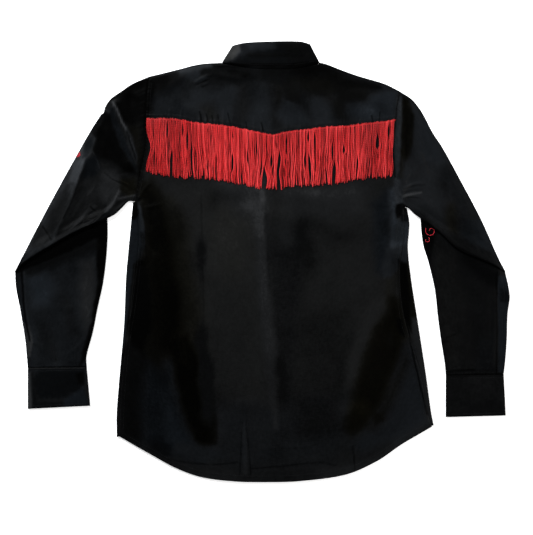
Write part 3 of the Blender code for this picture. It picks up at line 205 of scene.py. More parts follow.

# Patches of painted light and shade (painted shadows, slopes shaded away from the light, painted highlights), later
# ones over earlier ones:
# tone (-1 darkest, 0 dark, 1 light, 2 bright), hue (-1 cool where lit, 1 warm in shade), softness of the edge, then the
# corners x, y in the view grid.
PAINTED_LIGHT_PATCHES = [
    # back
    (0.46, 0.1, 20, 128, 180, 412, 180, 420, 420, 128, 420),
    (0.72, 0.1, 16, 178, 190, 255, 180, 258, 250, 262, 330, 268, 400, 226, 424, 212, 400, 204, 360, 190, 320, 184,
     260),
    (0.88, 0.2, 14, 206, 200, 250, 196, 254, 300, 250, 350, 222, 350, 212, 300),
    (0.78, 0, 10, 280, 186, 372, 184, 368, 216, 330, 222, 286, 222),
    (1.05, 0, 9, 214, 178, 258, 176, 268, 180, 268, 200, 262, 226, 240, 216, 220, 196),
    (0.2, 0, 8, 268, 224, 284, 220, 298, 236, 302, 292, 290, 400, 279, 402, 268, 340, 265, 250),
    (0.06, 0, 9, 282, 228, 306, 226, 300, 292, 284, 290),
    (0.5, 0.1, 10, 308, 250, 376, 246, 384, 286, 352, 340, 352, 366, 342, 400, 306, 396, 304, 300),
    (0.22, 0.1, 9, 300, 310, 344, 310, 346, 396, 300, 396),
    (0.62, 0.1, 5, 340, 252, 366, 250, 370, 280, 352, 296, 336, 286),
    (0.75, 0.1, 5, 372, 300, 388, 292, 390, 306, 374, 326, 360, 352, 356, 376, 344, 392, 346, 352),
    (0.32, -0.3, 10, 205, 404, 244, 402, 280, 408, 345, 400, 350, 440, 330, 460, 250, 466, 196, 458, 218, 440),
    (0.42, -0.2, 6, 248, 410, 268, 410, 272, 442, 250, 462), (0.12, 0, 8, 290, 396, 344, 394, 342, 432, 300, 436),
    (0.6, 0.1, 12, 208, 280, 250, 280, 262, 400, 214, 400),
    (0.95, 0, 3.5, 254, 176, 264, 176, 268, 260, 272, 300, 276, 340, 277, 372, 278, 428, 274, 428, 267, 370,
     260, 320, 256, 250),
    (0.15, 0, 2.5, 265, 214, 268, 214, 271, 290, 269, 290),
    (-0.55, 0.6, 7, 140, 262, 160, 262, 166, 330, 172, 352, 160, 366, 146, 366, 138, 340),
    (-0.92, 1, 7, 139, 184, 150, 182, 163, 200, 176, 240, 184, 300, 187, 348, 174, 356, 158, 346, 156, 300, 148,
     262,
     147, 226, 141, 200),
    (0.1, 0.6, 9, 170, 200, 184, 220, 198, 300, 206, 380, 212, 420, 200, 400, 184, 320),
    (-1, 1, 3.5, 171, 344, 187, 334, 203, 368, 211, 396, 215, 420, 216, 438, 211, 450, 202, 448, 194, 438, 186,
     420,
     180, 400, 176, 380, 172, 360),
    (-1.1, 0.1, 3.5, 135, 262, 142, 262, 149, 290, 151, 304, 150, 330, 144, 350, 148, 368, 145, 372, 139, 352,
     131, 348, 128, 320, 132, 290),
    (-0.55, 0, 6, 116, 346, 134, 344, 148, 362, 144, 400, 141, 442, 114, 440),
    (0.02, -0.9, 7, 149, 362, 162, 372, 170, 362, 174, 384, 178, 404, 185, 424, 194, 446, 198, 458, 165, 454, 144,
     440,
     141, 400, 146, 374),
    (0.35, -1, 5, 164, 402, 172, 404, 182, 428, 190, 446, 182, 452, 166, 440),
    (0.62, -0.9, 1.6, 127, 214, 136, 216, 137, 203, 141, 208, 145, 234, 145, 246, 137, 262, 134, 264, 130, 300,
     124, 350, 118, 350, 122, 290),
    (1.25, -0.6, 1.5, 139, 204, 141.5, 208, 145, 226, 144, 232, 141, 230, 139.5, 216),
    (0.35, -0.5, 1.2, 141, 232, 145, 234, 145, 246, 140, 258, 138, 256, 142, 244),
    (-1.3, 0, 1.2, 131, 198, 136, 198, 138.5, 216, 134, 219, 130, 218),
    (-1.2, 0, 1, 136, 197, 141, 198, 140, 202, 136, 202),
    (0.45, -0.5, 4, 176, 442, 214, 446, 224, 456, 200, 464, 170, 452),
    (0.22, 0, 2.5, 150, 455, 200, 468, 250, 473, 330, 469, 384, 446, 386, 454, 330, 480, 250, 486, 190, 480,
     140, 454),
    (-0.62, 1, 5.5, 390, 294, 398, 300, 404, 316, 405, 348, 396, 366, 388, 386, 384, 400, 374, 412, 366, 424, 352,
     434,
     345, 428, 352, 402, 361, 372, 370, 342, 376, 328, 388, 312),
    (-1, 0.2, 2, 396, 318, 402, 320, 404, 336, 398, 332),
    (0.5, -0.6, 6, 404, 344, 414, 348, 430, 420, 402, 438, 362, 452, 352, 446, 372, 424, 386, 402, 396, 370),
    (-0.02, 0.3, 6, 405, 352, 397, 372, 387, 392, 379, 410, 368, 428, 376, 430, 388, 414, 399, 390, 410, 362),
    (-0.3, 0.6, 3, 372, 414, 382, 412, 384, 420, 374, 422),
    (0.22, -0.9, 5, 373, 204, 389, 188, 392, 214, 390, 250, 383, 276, 376, 270, 374, 232),
    (1.1, -0.8, 2.5, 388, 190, 399, 184, 405, 196, 397, 204, 397, 218, 404, 222, 412, 220, 408, 262, 400, 262, 391,
     276,
     384, 278, 388, 252, 391, 216),
    (0.72, -0.5, 3, 386, 248, 408, 246, 405, 264, 388, 278, 382, 270),
    (0.45, 0.3, 3, 384, 278, 392, 276, 400, 264, 399, 288, 390, 296, 386, 292),
    (-0.95, -0.4, 1.2, 396, 204, 400, 203, 403, 208, 401, 216, 397, 218, 395, 212),
    (-0.95, 0.3, 1, 402, 206, 406, 205, 408, 211, 403, 213),
    (-0.2, -0.6, 1.2, 400, 216, 408, 215, 409, 222, 401, 222),
    (-1.1, 0.4, 1.4, 398, 259, 401, 262, 407, 262, 410, 300, 411, 332, 405, 318, 400, 300, 400, 280),
    (-0.35, 1, 2, 407, 256, 411, 256, 416, 316, 411, 318), (0.75, 0, 2, 411, 318, 417, 318, 436, 424, 426, 420),
    # yoke
    (0.3, -0.3, 8.1, 146, 62, 404, 62, 404, 132, 146, 132),
    (0.12, -0.6, 5.4, 150, 92, 160, 82, 186, 80, 178, 98, 190, 112, 200, 120, 148, 120),
    (1.0, -0.5, 5.4, 190, 90, 200, 88, 214, 90, 238, 82, 248, 92, 238, 104, 230, 120, 206, 118, 186, 104),
    (1, -0.5, 4.1, 206, 102, 226, 100, 230, 118, 214, 122), (0.45, 0.2, 5.4, 200, 106, 212, 104, 222, 122, 206, 122),
    (0.42, 0, 5.4, 238, 82, 250, 82, 250, 126, 236, 118),
    (0.85, -0.5, 5.4, 252, 82, 264, 84, 270, 112, 268, 131, 246, 126, 252, 104),
    (0.1, 0.2, 5.4, 273, 82, 287, 84, 284, 104, 286, 128, 276, 124),
    (0.85, -0.6, 4.1, 284, 100, 292, 97, 303, 110, 310, 122, 284, 127, 276, 114),
    (-0.25, 0.4, 6.8, 284, 66, 340, 70, 346, 92, 318, 98, 302, 92, 286, 84),
    (0.75, -0.5, 4.1, 308, 106, 312, 98, 321, 98, 333, 114, 332, 124, 316, 125),
    (0.1, 0.2, 4.1, 330, 98, 344, 98, 346, 120, 336, 118),
    (0.9, -0.8, 5.4, 350, 106, 366, 102, 384, 92, 396, 96, 398, 119, 360, 123, 348, 112),
    (-0.92, -0.5, 2.5, 338, 84, 350, 82, 378, 86, 381, 88, 352, 90),
    (-0.35, 0.2, 5.4, 326, 78, 344, 78, 376, 84, 372, 90, 344, 94),
    (-0.5, -0.1, 5.4, 256, 62, 322, 62, 334, 72, 300, 78, 262, 80),
    (-0.45, -0.1, 5.4, 196, 72, 214, 64, 252, 66, 252, 76, 236, 82, 214, 80),
    (-1, -0.3, 1.6, 212, 66, 234, 64.5, 252, 66, 240, 68, 220, 68),
    (-0.85, -0.2, 2.2, 226, 71, 236, 70, 250, 74, 246, 78, 236, 76),
    (0.75, -0.6, 2.2, 187, 66, 200, 66, 200, 76, 208, 78, 198, 84, 186, 78),
    (-0.95, 0.1, 6.8, 108, 80, 160, 70, 162, 82, 150, 92, 149, 118, 108, 120),
    (-1.1, 0, 2.5, 134, 92, 145, 90, 144, 95, 135, 95),
    (-1.1, 0, 2.5, 132, 114, 138, 108, 150, 106, 150, 112, 144, 114, 146, 118, 140, 116),
    (-0.2, 0.2, 3, 284, 82, 300, 84, 300, 102, 286, 100), (-0.25, 0.2, 3, 338, 90, 368, 88, 366, 100, 340, 102),
    (-0.35, 0, 4, 148, 76, 178, 70, 180, 82, 156, 90, 148, 92), (0.55, -0.5, 4, 156, 96, 174, 96, 176, 110, 158, 112),
    (0.9, -0.8, 3, 372, 96, 396, 92, 397, 116, 374, 114), (0.9, -0.4, 2, 176, 70, 212, 63, 212, 67.5, 180, 75),
    # left upper arm
    (0.22, 0, 3, 8, 276, 78, 150, 104, 112, 112, 98, 118, 110, 128, 150, 140, 176, 138, 200, 108, 220),
    (-1, 0.1, 4, 112, 100, 130, 84, 148, 78, 149, 118, 147, 140, 143, 168, 140, 178, 132, 140, 122, 112),
    (-0.3, 0.6, 4, 128, 126, 140, 124, 144, 150, 140, 172, 134, 150),
    (-0.9, 0, 3.5, 102, 112, 112, 118, 120, 132, 128, 150, 137, 174, 128, 172, 112, 161, 98, 160, 91, 150, 94, 138,
     99, 124),
    (0.3, -0.7, 2, 108, 104, 113, 108, 122, 130, 132, 155, 138, 172, 130, 162, 120, 146, 112, 124, 110, 114),
    (1.75, -0.1, 1, 111.5, 101, 114.5, 101.5, 118.5, 109, 122.5, 118.5, 127, 128, 132, 140, 134, 149, 130.5, 143,
     125.5, 131, 120.5, 120.5, 116, 111),
    (0.75, -0.3, 2, 126, 126, 133, 138, 138, 156, 138, 170, 133, 158, 128, 142),
    (1.1, 0, 1.2, 104, 111, 107, 108, 111, 112, 109, 114),
    (-0.2, -0.9, 3, 86, 158, 96, 156, 101, 170, 92, 177, 82, 179),
    (1.15, -0.2, 2, 91, 132, 96, 138, 92, 152, 86, 160, 80, 180, 70, 205, 60, 227, 54, 242, 42, 248, 28, 258, 12, 268,
     40, 215, 74, 156),
    (1.6, -0.3, 1.6, 75, 160, 85, 160, 82.5, 170, 76.5, 183, 69, 182),
    (0.35, -0.6, 2, 86, 142, 92, 138, 93, 146, 86, 156, 82, 158),
    (0.35, 0, 3, 50, 214, 68, 186, 70, 204, 60, 226, 52, 236, 44, 236),
    (0.55, 0, 2, 40, 222, 47, 230, 51, 244, 44, 248, 30, 248),
    (1, 0, 4, 98, 182, 105, 173, 117, 170, 121, 182, 118, 194, 108, 204, 98, 196),
    (0.3, 0, 4, 88, 182, 98, 180, 100, 200, 92, 212, 80, 214, 78, 204),
    (0.12, 0, 2.5, 72, 206, 80, 188, 88, 182, 86, 202, 76, 222, 62, 232, 62, 226),
    (-0.1, 0.8, 3, 121, 180, 135, 178, 139, 192, 130, 197, 121, 192),
    (1.3, 0, 1.2, 117, 198, 126, 196, 136, 194, 137, 196, 126, 198, 118, 201),
    (1.3, 0, 1.4, 119, 188, 121, 192, 116, 202, 107, 214, 104, 212, 113, 200),
    (0.95, 0, 1.4, 94, 204, 97, 206, 86, 216, 76, 227, 69, 236, 67, 234, 76, 222, 86, 212),
    # shadow under the left elbow's fold, then the left forearm
    (-0.45, 0, 2.5, 28, 258, 60, 241, 90, 225, 108, 214, 110, 218, 86, 228, 50, 247, 27, 262),
    (0.35, -0.5, 3, 12, 262, 110, 212, 108, 240, 98, 320, 86, 372, 20, 372),
    (1, -0.9, 6, 24, 274, 44, 268, 54, 284, 50, 306, 34, 306),
    (1.0, 0, 5, 80, 262, 94, 258, 98, 282, 92, 326, 84, 334, 79, 300),
    (0.1, -0.3, 4, 62, 294, 70, 296, 76, 320, 80, 336, 70, 336, 64, 318),
    (0.15, -0.3, 4.5, 38, 322, 46, 322, 58, 352, 57, 364, 50, 358, 40, 336),
    (-1, 0.4, 2.2, 96, 244, 103, 222, 110, 216, 108, 240, 105, 276, 97, 326, 87, 356, 80, 366, 84, 348, 92, 322,
     99, 280),
    (-1.6, 0, 1.5, 13, 271, 20, 265, 27.8, 260.6, 47.8, 247.8, 69.9, 235.2, 86.8, 226.8, 108, 217.6, 108, 226, 106,
     233,
     96, 239, 80, 247, 60, 256, 44, 262, 30, 268, 15, 274),
    (-0.1, 0, 5, 18, 276, 30, 266, 60, 254, 96, 238, 98, 248, 60, 263, 30, 276),
    (-0.2, -0.5, 3, 34, 371, 84, 370, 82, 388, 66, 398, 40, 398, 35, 386),
    (0, -0.2, 2, 20, 372, 34, 372, 36, 386, 38, 400, 90, 404, 90, 412, 20, 412),
    (0.5, -1, 2, 64, 399, 84, 387, 89, 405, 64, 408), (-0.8, 0.2, 2, 76, 374, 84, 372, 84, 384, 78, 384),
    (1.4, 0, 1.6, 22, 372, 31, 372, 33, 410, 22, 412), (1.2, 0, 1.5, 22, 322, 30, 326, 34, 342, 31, 356, 24, 360),
    # right upper arm
    (0.36, -0.3, 3, 398, 90, 410, 90, 512, 276, 498, 268, 454, 248, 420, 220, 406, 206, 394, 178, 392, 140),
    (0.9, -0.6, 5, 412, 108, 424, 116, 446, 160, 436, 172, 416, 160),
    (-0.1, 0.3, 3.5, 432, 182, 446, 184, 446, 200, 440, 206, 436, 196),
    (0.28, 0.5, 4, 446, 200, 456, 204, 458, 246, 448, 242, 444, 220),
    (0.35, -0.8, 5, 466, 220, 480, 222, 492, 252, 474, 256, 462, 244),
    (0.1, -0.4, 2, 462, 244, 472, 244, 468, 250, 462, 250),
    (1.8, 0, 1.5, 484, 254, 492, 257, 502, 270, 494, 269, 486, 262),
    (-0.8, 1, 2.5, 403, 96, 408, 99, 413, 115, 412, 136, 408, 158, 405, 176, 401, 172, 402, 140, 402, 114),
    (-0.3, 1, 2.5, 400, 150, 404, 148, 404, 178, 400, 178),
    (1.05, -0.4, 1.2, 396, 98, 402, 96, 401, 130, 399, 170, 396, 180, 394, 140),
    (1.2, -0.5, 2, 394, 176, 400, 180, 404, 204, 396, 204, 393, 190),
    (0.8, -0.3, 6, 402, 160, 436, 164, 450, 200, 440, 214, 412, 205, 400, 190),
    (1.5, 0, 1.1, 402, 195, 410, 193, 422, 191.5, 422, 193.5, 410, 196, 403, 198),
    (1.15, 0, 1.1, 402, 190, 410, 184, 411, 186, 404, 193), (1.05, 0, 1.2, 404, 182, 409, 174, 411, 174, 406, 184),
    (0.95, 0, 1.5, 420, 152, 423, 154, 430, 176, 427, 174),
    # right forearm
    (-0.05, 0, 3, 416, 212, 512, 266, 512, 376, 440, 376, 420, 230),
    (0.15, 0.1, 5, 432, 240, 456, 250, 462, 300, 460, 366, 448, 370, 440, 330, 434, 270),
    (-0.6, -0.3, 4, 456, 247, 480, 260, 497, 270, 500, 288, 486, 288, 478, 276, 462, 262),
    (-0.7, 0, 2, 419, 219, 438, 231, 434, 240, 430, 262, 424, 246),
    (0.45, -1, 1.3, 497.5, 276, 514, 276, 512, 372, 497.5, 372),
    (-0.1, -1, 2, 500, 288, 512, 296, 512, 304, 500, 302), (0, -0.2, 4, 478, 340, 496, 330, 496, 374, 474, 372),
    (0.08, 0, 3, 440, 376, 512, 372, 512, 420, 440, 420), (-0.1, 0, 3, 470, 404, 490, 400, 492, 412, 470, 414),
    # collar
    (-0.18, -0.5, 3, 226, 38, 322, 38, 322, 64, 226, 64),
    (1.2, 0.1, 2.5, 222, 64, 230, 42, 240, 42, 240, 52, 232, 62), (0.62, -0.6, 3, 246, 43, 276, 42, 276, 50, 250, 50),
    (-0.3, 0, 4, 284, 40, 304, 40, 318, 60, 300, 64, 288, 60),
    (-0.55, -0.2, 1.8, 246, 54, 266, 54, 302, 53, 302, 56.5, 262, 58, 246, 56.5),
]
# Narrow painted shade lines in seams, creases and under edges, and painted highlight lines on ridges: tone, half width,
# then points x, y.
PAINTED_LIGHT_STROKES = [
    (-1.2, 1.1, 146, 122, 146.5, 140, 142, 164, 139, 180, 137, 198), (-1.4, 1, 27, 367.9, 86.5, 367.3),
    (-1.2, 1, 446.5, 375.2, 504, 374.1),
    (1.7, 0.5, 112, 101, 116, 108, 119, 116, 122, 123, 126, 131, 131, 140, 135, 150),
    (0.9, 0.5, 106, 170, 112, 176, 120, 180, 128, 184), (0.9, 0.5, 114, 176, 120, 175, 128, 174),
    (-0.6, 0.5, 105, 172.5, 111, 178.5, 119, 182.5, 127, 186),
    (1, 0.5, 108, 212, 111, 208, 114, 204, 117, 198, 120, 192), (0.9, 0.5, 70, 228, 78, 222, 88, 216, 98, 212),
    (-0.5, 0.5, 72, 230, 80, 224, 90, 218), (0.8, 0.5, 36, 240, 39, 246, 42, 252),
    (0.8, 0.5, 38, 224, 43, 230, 48, 236), (0.8, 0.5, 92, 150, 97, 160, 100, 168),
    (-1.2, 0.8, 398, 205, 402, 204, 406, 207, 407, 212, 404, 216, 400, 215, 398, 211, 398, 206),
    (0.6, 0.7, 402, 209, 403, 211.5), (-0.8, 0.7, 148.5, 139, 145.5, 152, 142.5, 170),
    (-0.8, 0.7, 400, 91, 396.8, 106, 395.7, 118, 393.6, 150, 393.6, 165, 395.2, 177),
    (-1.4, 1.6, 229, 64.2, 262, 65.6, 290, 65.4, 319, 63.2), (-1.3, 0.9, 22, 268, 23.4, 300, 26, 322, 30, 340),
    (0.9, 0.9, 24.5, 272, 25.6, 300, 28.4, 322, 32, 338), (-1.3, 0.8, 496.4, 272, 496.2, 330, 496.3, 374),
    (-1.2, 0.8, 402.5, 304, 408, 330, 417, 374, 427, 414),
    (-1.3, 1.3, 420, 218.6, 437.5, 231, 455, 247, 470, 254, 484, 261.5, 498, 269),
    (0.3, 0.8, 201, 192, 203, 280, 204.6, 340, 205, 372), (-1, 0.8, 446, 371.6, 458, 369.8, 474, 369.6),
    (-0.8, 0.7, 451, 376, 462, 377.6, 476, 373.4, 484, 374.6), (-0.5, 0.7, 353, 446, 353.6, 456, 354.2, 470),
    (0.1, 0.8, 279, 449, 296, 447.4, 312, 447), (-0.25, 0.8, 248, 468.6, 270, 467, 296, 464, 320, 462.6, 336, 465),
    (-0.25, 0.8, 168, 459, 190, 463, 214, 464.6, 238, 462), (-0.3, 0.8, 242.4, 422, 241.6, 440, 239.8, 474),
    (-0.4, 0.8, 245.8, 422, 247.6, 440, 250.6, 474), (0.9, 2.4, 244.2, 424, 245, 446, 245.4, 472),
    (-0.9, 0.7, 198, 84.6, 203, 82, 209, 79.4), (-0.6, 0.6, 202, 87, 208, 85), (-0.8, 0.7, 91, 207, 99, 213.4),
    (-0.8, 0.7, 43, 226, 52, 240), (1.3, 0.7, 70, 202, 62.5, 218, 56.5, 232), (1.3, 0.7, 58, 228, 54.4, 233, 55, 240),
    (-0.4, 0.9, 87, 161, 84, 171, 78, 186, 71.5, 202.5, 64, 218.5), (-0.9, 0.7, 127, 132, 132, 146, 136, 160),
    (-1, 0.8, 200, 112, 201.5, 121), (-0.8, 0.6, 206, 114, 208, 122), (0.9, 0.7, 203.5, 112, 205, 121),
    (-0.9, 0.6, 212, 116, 213, 123), (-0.6, 0.6, 218, 115, 219, 122.6), (-0.6, 0.6, 228, 113, 230, 124),
    (-0.6, 0.6, 246, 122, 247, 128), (-0.8, 0.7, 261, 123, 263, 131), (-0.7, 0.6, 371, 116, 372.6, 122),
    (-0.5, 0.6, 380, 112, 379, 120), (-0.7, 0.7, 145.6, 246, 147, 258), (1, 0.8, 136, 262, 133, 290, 130, 318),
    (-0.9, 0.8, 441, 342, 448, 341), (-0.5, 0.7, 446, 338, 456, 333), (-0.6, 0.6, 463, 246, 470, 250),
]

# Broad faint painted light and shade laid over the patches and strokes: change, reach, then points x, y.
PAINTED_LIGHT_TOUCHES = [
    (-0.32, 9, 140, 212, 140, 250, 139, 275), (-0.18, 8, 138, 290, 136, 330), (0.1, 9, 196, 190, 238, 190),
    (0.3, 9, 225, 206, 258, 208, 262, 232), (0.5, 3, 256, 185, 262, 192, 263, 200), (0.12, 9, 222, 212, 244, 224),
    (0.28, 8, 306, 191, 330, 192, 352, 190), (-0.22, 9, 300, 226, 306, 255, 310, 274),
    (-0.2, 8, 213, 330, 216, 360, 219, 400), (-0.2, 8, 277, 365, 279, 410), (-0.26, 6, 352, 335, 345, 358, 342, 382),
    (0.3, 8, 344, 408, 362, 404), (0.38, 8, 398, 442, 414, 432, 427, 420),
    (0.45, 8, 326, 475, 354, 470, 380, 461, 400, 450), (0.25, 8, 186, 474, 210, 478, 236, 480),
    (0.35, 6, 122, 360, 119, 400, 119, 430), (-0.15, 9, 284, 435, 330, 432), (-0.5, 8, 58, 232, 80, 228, 102, 216),
    (-0.25, 9, 40, 262, 66, 256, 98, 252), (-0.25, 8, 74, 268, 98, 270, 96, 290), (-0.38, 10, 124, 92, 130, 112),
    (-0.3, 9, 102, 132, 116, 152, 122, 170), (0.45, 5, 80, 146, 84, 162), (-0.25, 12, 182, 94, 210, 92, 246, 90),
    (-0.35, 8, 256, 84, 258, 96), (-0.35, 9, 288, 107, 304, 106), (-0.22, 9, 340, 112, 352, 108),
    (-0.22, 11, 308, 72, 332, 76), (-0.25, 8, 282, 50, 306, 50), (0.5, 6, 234, 54, 246, 50),
    (0.25, 4, 446, 140, 458, 158, 470, 184), (-0.35, 7, 440, 180, 443, 194), (-0.35, 9, 456, 222, 472, 232),
    (-0.4, 6, 396, 262, 400, 284), (-0.2, 8, 492, 404, 500, 412), (-0.2, 6, 414, 120, 428, 150),
    (0.25, 6, 386, 240, 394, 246), (0.2, 4, 172, 75, 190, 70, 210, 67), (-0.7, 7, 149, 84, 152, 92, 166, 78),
    (-0.25, 7, 160, 90, 163, 92), (0.35, 6, 180, 94, 184, 108), (-0.25, 7, 218, 108, 232, 104),
    (0.12, 8, 286, 240, 306, 240), (0.25, 6, 284, 192, 316, 192), (-0.55, 8, 216, 196, 236, 198),
    (-0.2, 7, 330, 236, 346, 236), (-0.25, 10, 300, 72, 326, 70, 344, 78), (-0.3, 8, 106, 108, 112, 120),
    (-0.2, 9, 104, 132, 118, 156, 126, 172), (-0.25, 7, 122, 205, 136, 214), (-0.35, 5, 425, 226, 427, 238),
    (-0.3, 6, 398, 230, 400, 236), (-0.25, 8, 142, 262, 140, 300), (0.18, 8, 205, 438, 222, 432),
    (0.25, 6, 116, 405, 118, 432), (-0.15, 8, 300, 200, 303, 236), (0.3, 6, 364, 110, 372, 112),
    (-0.12, 10, 214, 392, 262, 392), (0.45, 6, 98, 84, 112, 80, 128, 76), (-0.35, 6, 140, 88, 138, 114),
    (0.3, 7, 180, 68, 210, 62), (-0.3, 8, 212, 205, 240, 214), (0.22, 8, 280, 208, 300, 212),
    (0.4, 8, 284, 228, 288, 240), (-0.25, 8, 300, 215, 320, 225), (-0.25, 8, 310, 245, 312, 262),
    (-0.25, 7, 178, 212, 180, 235), (-0.25, 9, 176, 288, 180, 315), (0.25, 8, 184, 335, 186, 360),
    (-0.25, 9, 278, 362, 280, 400), (-0.2, 9, 210, 400, 262, 412), (0.32, 7, 358, 405, 362, 412),
    (0.3, 8, 56, 348, 58, 362), (0.3, 5, 34, 330, 36, 372), (-0.45, 7, 158, 446, 166, 452),
    (-0.35, 7, 158, 368, 162, 378), (0.35, 7, 240, 50, 262, 46), (-0.3, 6, 380, 104, 384, 112),
    (0.35, 7, 500, 262, 504, 276), (-0.25, 6, 386, 226, 388, 236), (0.3, 8, 434, 224, 444, 232),
    (0.3, 8, 484, 224, 490, 236), (0.14, 10, 214, 412, 262, 414),
]

# Where air holds the cloth up or lets it sink: x, y, reach along x, reach along y, lean, rise in millimetres.
AIR = [
    (150, 300, 17, 110, -3, 4.6), (204, 262, 20, 60, 0, -1.3), (212, 392, 22, 70, -12, -1.7),
    (262, 300, 34, 130, -1, 2.2), (384, 270, 18, 40, 10, 2.2), (352, 370, 16, 90, 14, 3.2),
    (398, 380, 14, 80, 8, -1.4), (424, 390, 12, 50, -8, 2.6), (188, 92, 18, 12, 0, 1.4), (243, 86, 14, 14, 0, 1.2),
    (300, 94, 12, 14, 0, 1), (372, 102, 16, 10, 0, 1.2), (160, 440, 20, 16, 0, 1.2), (300, 452, 40, 12, 0, 0.8),
]


def smooth(value):
    """From 0 to 1, eased at both ends."""
    value = np.clip(value, 0.0, 1.0)
    return value * value * (3 - 2 * value)


def bell(gap, width):
    """1 where the gap is none, falling off softly on both sides of it."""
    return np.exp(-((gap / width) ** 2))


def fade(gap, reach):
    """From 1 at no gap down to 0 far off."""
    return np.exp(-gap / reach)


def mix(low, high, share):
    """From low to high by a share."""
    return low + (high - low) * share


def unit(ways):
    """The same ways, each one long."""
    return ways / np.linalg.norm(ways, axis=-1, keepdims=True)


def mm_x(x):
    """Millimetres from a step of the view grid."""
    return (x - VIEW_X) * UNIT


def mm_y(y):
    """Millimetres from a step of the view grid."""
    return (VIEW_Y - y) * UNIT


# ---------------------------------------------------------------- curves, patches and heights on whole arrays
def curve(points):
    """A smooth line through the points, as a function of the share of its length."""
    knots = np.array(points, float)
    marks = np.concatenate([[0.0], np.cumsum(np.linalg.norm(np.diff(knots, axis=0), axis=1))])
    last = len(knots) - 1
    low = np.maximum(np.arange(last + 1) - 1, 0)
    high = np.minimum(np.arange(last + 1) + 1, last)
    slopes = (knots[high] - knots[low]) / (marks[high] - marks[low])[:, None]

    def at(share):
        length = np.clip(np.asarray(share, float), 0, 1) * marks[-1]
        i = np.clip(np.searchsorted(marks, length, side="left") - 1, 0, last - 1)
        span = (marks[i + 1] - marks[i])[..., None]
        t = (length[..., None] - marks[i][..., None]) / span
        near = (1 + 2 * t) * (1 - t) ** 2 * knots[i] + t * (1 - t) ** 2 * span * slopes[i]
        far = t * t * (3 - 2 * t) * knots[i + 1] - t * t * (1 - t) * span * slopes[i + 1]
        return near + far

    return at


def joined(first, second, share):
    """Two curves end to end, the first one up to a share."""

    def at(t):
        t = np.asarray(t, float)
        return np.where((t <= share)[..., None], first(t / share), second((t - share) / (1 - share)))

    return at


def reverse(path):
    """The same path from its end to its start."""
    return lambda t: path(1 - np.asarray(t, float))


def inset(path, distance):
    """The curve moved to its left by a distance."""

    def at(t):
        t = np.clip(np.asarray(t, float), 0, 1)
        ahead = path(np.minimum(1, t + 0.004)) - path(np.maximum(0, t - 0.004))
        left = np.stack([-ahead[..., 1], ahead[..., 0]], axis=-1)
        return path(t) + unit(left) * distance

    return at


def drawn(path, shift, power):
    """The curve with its far end moved by a shift that fades towards its near end."""
    return lambda t: path(t) + shift * (np.asarray(t, float) ** power)[..., None]


def patch(bottom, top, left, right):
    """The surface between four curves, from its shares across and up."""

    def at(u, v):
        across, up = u[..., None], v[..., None]
        both = (1 - up) * bottom(u) + up * top(u) + (1 - across) * left(v) + across * right(v)
        low = (1 - across) * (1 - up) * bottom(0.0) + across * (1 - up) * bottom(1.0)
        return both - low - (1 - across) * up * top(0.0) - across * up * top(1.0)

    return at


def marks_for(length, step, near=(0.35, 0.9, 1.8, 3.2)):
    """Shares of a length, closer together near both ends."""
    inner = np.linspace(near[-1], length - near[-1], max(2, int(length / step)))
    ends = np.array((0.0, *near[:-1]))
    return np.concatenate([ends, inner, length - ends[::-1]]) / length


def gentle(place, table):
    """Height of the solids' soft folds at each place."""
    high, low = np.zeros(place.shape[:-1]), np.zeros(place.shape[:-1])
    for x0, y0, x1, y1, half_width, rise in table:
        run = np.array((x1 - x0, y1 - y0), float)
        away = place - (x0, y0)
        share = np.clip(away @ run / (run @ run), 0, 1)
        gap = np.linalg.norm(away - share[..., None] * run, axis=-1)
        fold = rise * bell(gap, half_width)
        high, low = np.maximum(high, fold), np.minimum(low, fold)
    return high + low


def creased(place, table):
    """Height of the listed creases: each bows, thins out at its ends and may be steeper on one side."""
    high, low = np.zeros(place.shape[:-1]), np.zeros(place.shape[:-1])
    for x0, y0, x1, y1, bow, right, left, rise in table:
        start = np.array((mm_x(x0), mm_y(y0)))
        run = np.array((mm_x(x1), mm_y(y1))) - start
        length = math.hypot(*run)
        away = place - start
        along = away @ run / length ** 2
        share = np.clip(along, 0, 1)
        across = (away[..., 1] * run[0] - away[..., 0] * run[1]) / length
        across = across - bow * UNIT * 4 * share * (1 - share)
        width = np.where(across > 0, left, right) * UNIT
        past = (along - share) * length / (0.5 * (left + right) * UNIT)
        taper = 0.6 + 0.4 * np.sin(np.pi * share) ** 0.7
        crease = CREASE_GAIN * rise * taper * np.exp(-((across / width) ** 2) - past ** 2)
        high = np.maximum(high, crease) + 0.25 * np.minimum(high, np.maximum(crease, 0))
        low = np.minimum(low, crease)
    return high + low


def rumple(place, seed, size, strength):
    """Shallow uneven waves that no pressed cloth is without."""
    height = np.zeros(place.shape[:-1])
    draw = np.random.default_rng(seed)
    for _ in range(14):
        angle = draw.uniform(0, math.tau)
        wave = math.tau / (size * draw.uniform(0.6, 2.2))
        way = np.array((math.cos(angle), math.sin(angle))) * wave
        height += np.sin(place @ way + draw.uniform(0, math.tau)) * draw.uniform(0.5, 1.0)
    return height * strength / 3.2


def ripple(along, seed):
    """Uneven pulls of the thread along a seam, from -1 to 1."""
    draw = np.random.default_rng(seed)
    total = np.zeros_like(along)
    for period in (5.1, 7.3, 11.9, 23.0):
        total = total + np.sin(along * math.tau / period + draw.uniform(0, math.tau)) * 0.4
    return total


def nearness(place, corners, closed):
    """Distance of each place to a line of corners, below zero inside a closed one."""
    ends = np.roll(corners, -1, axis=0) if closed else corners[1:]
    nearest, inside = np.full(len(place), np.inf), np.zeros(len(place), bool)
    for start, end in zip(corners, ends):
        run, away = end - start, place - start
        share = np.clip(away @ run / (run @ run), 0, 1)
        nearest = np.minimum(nearest, np.linalg.norm(away - share[:, None] * run, axis=1))
        above = (place[:, 1] > start[1]) != (place[:, 1] > end[1])
        if closed and above.any():
            crossing = start[0] + (place[:, 1] - start[1]) * run[0] / (run[1] if run[1] else 1.0)
            inside ^= above & (place[:, 0] < crossing)
    return np.where(inside, -nearest, nearest)


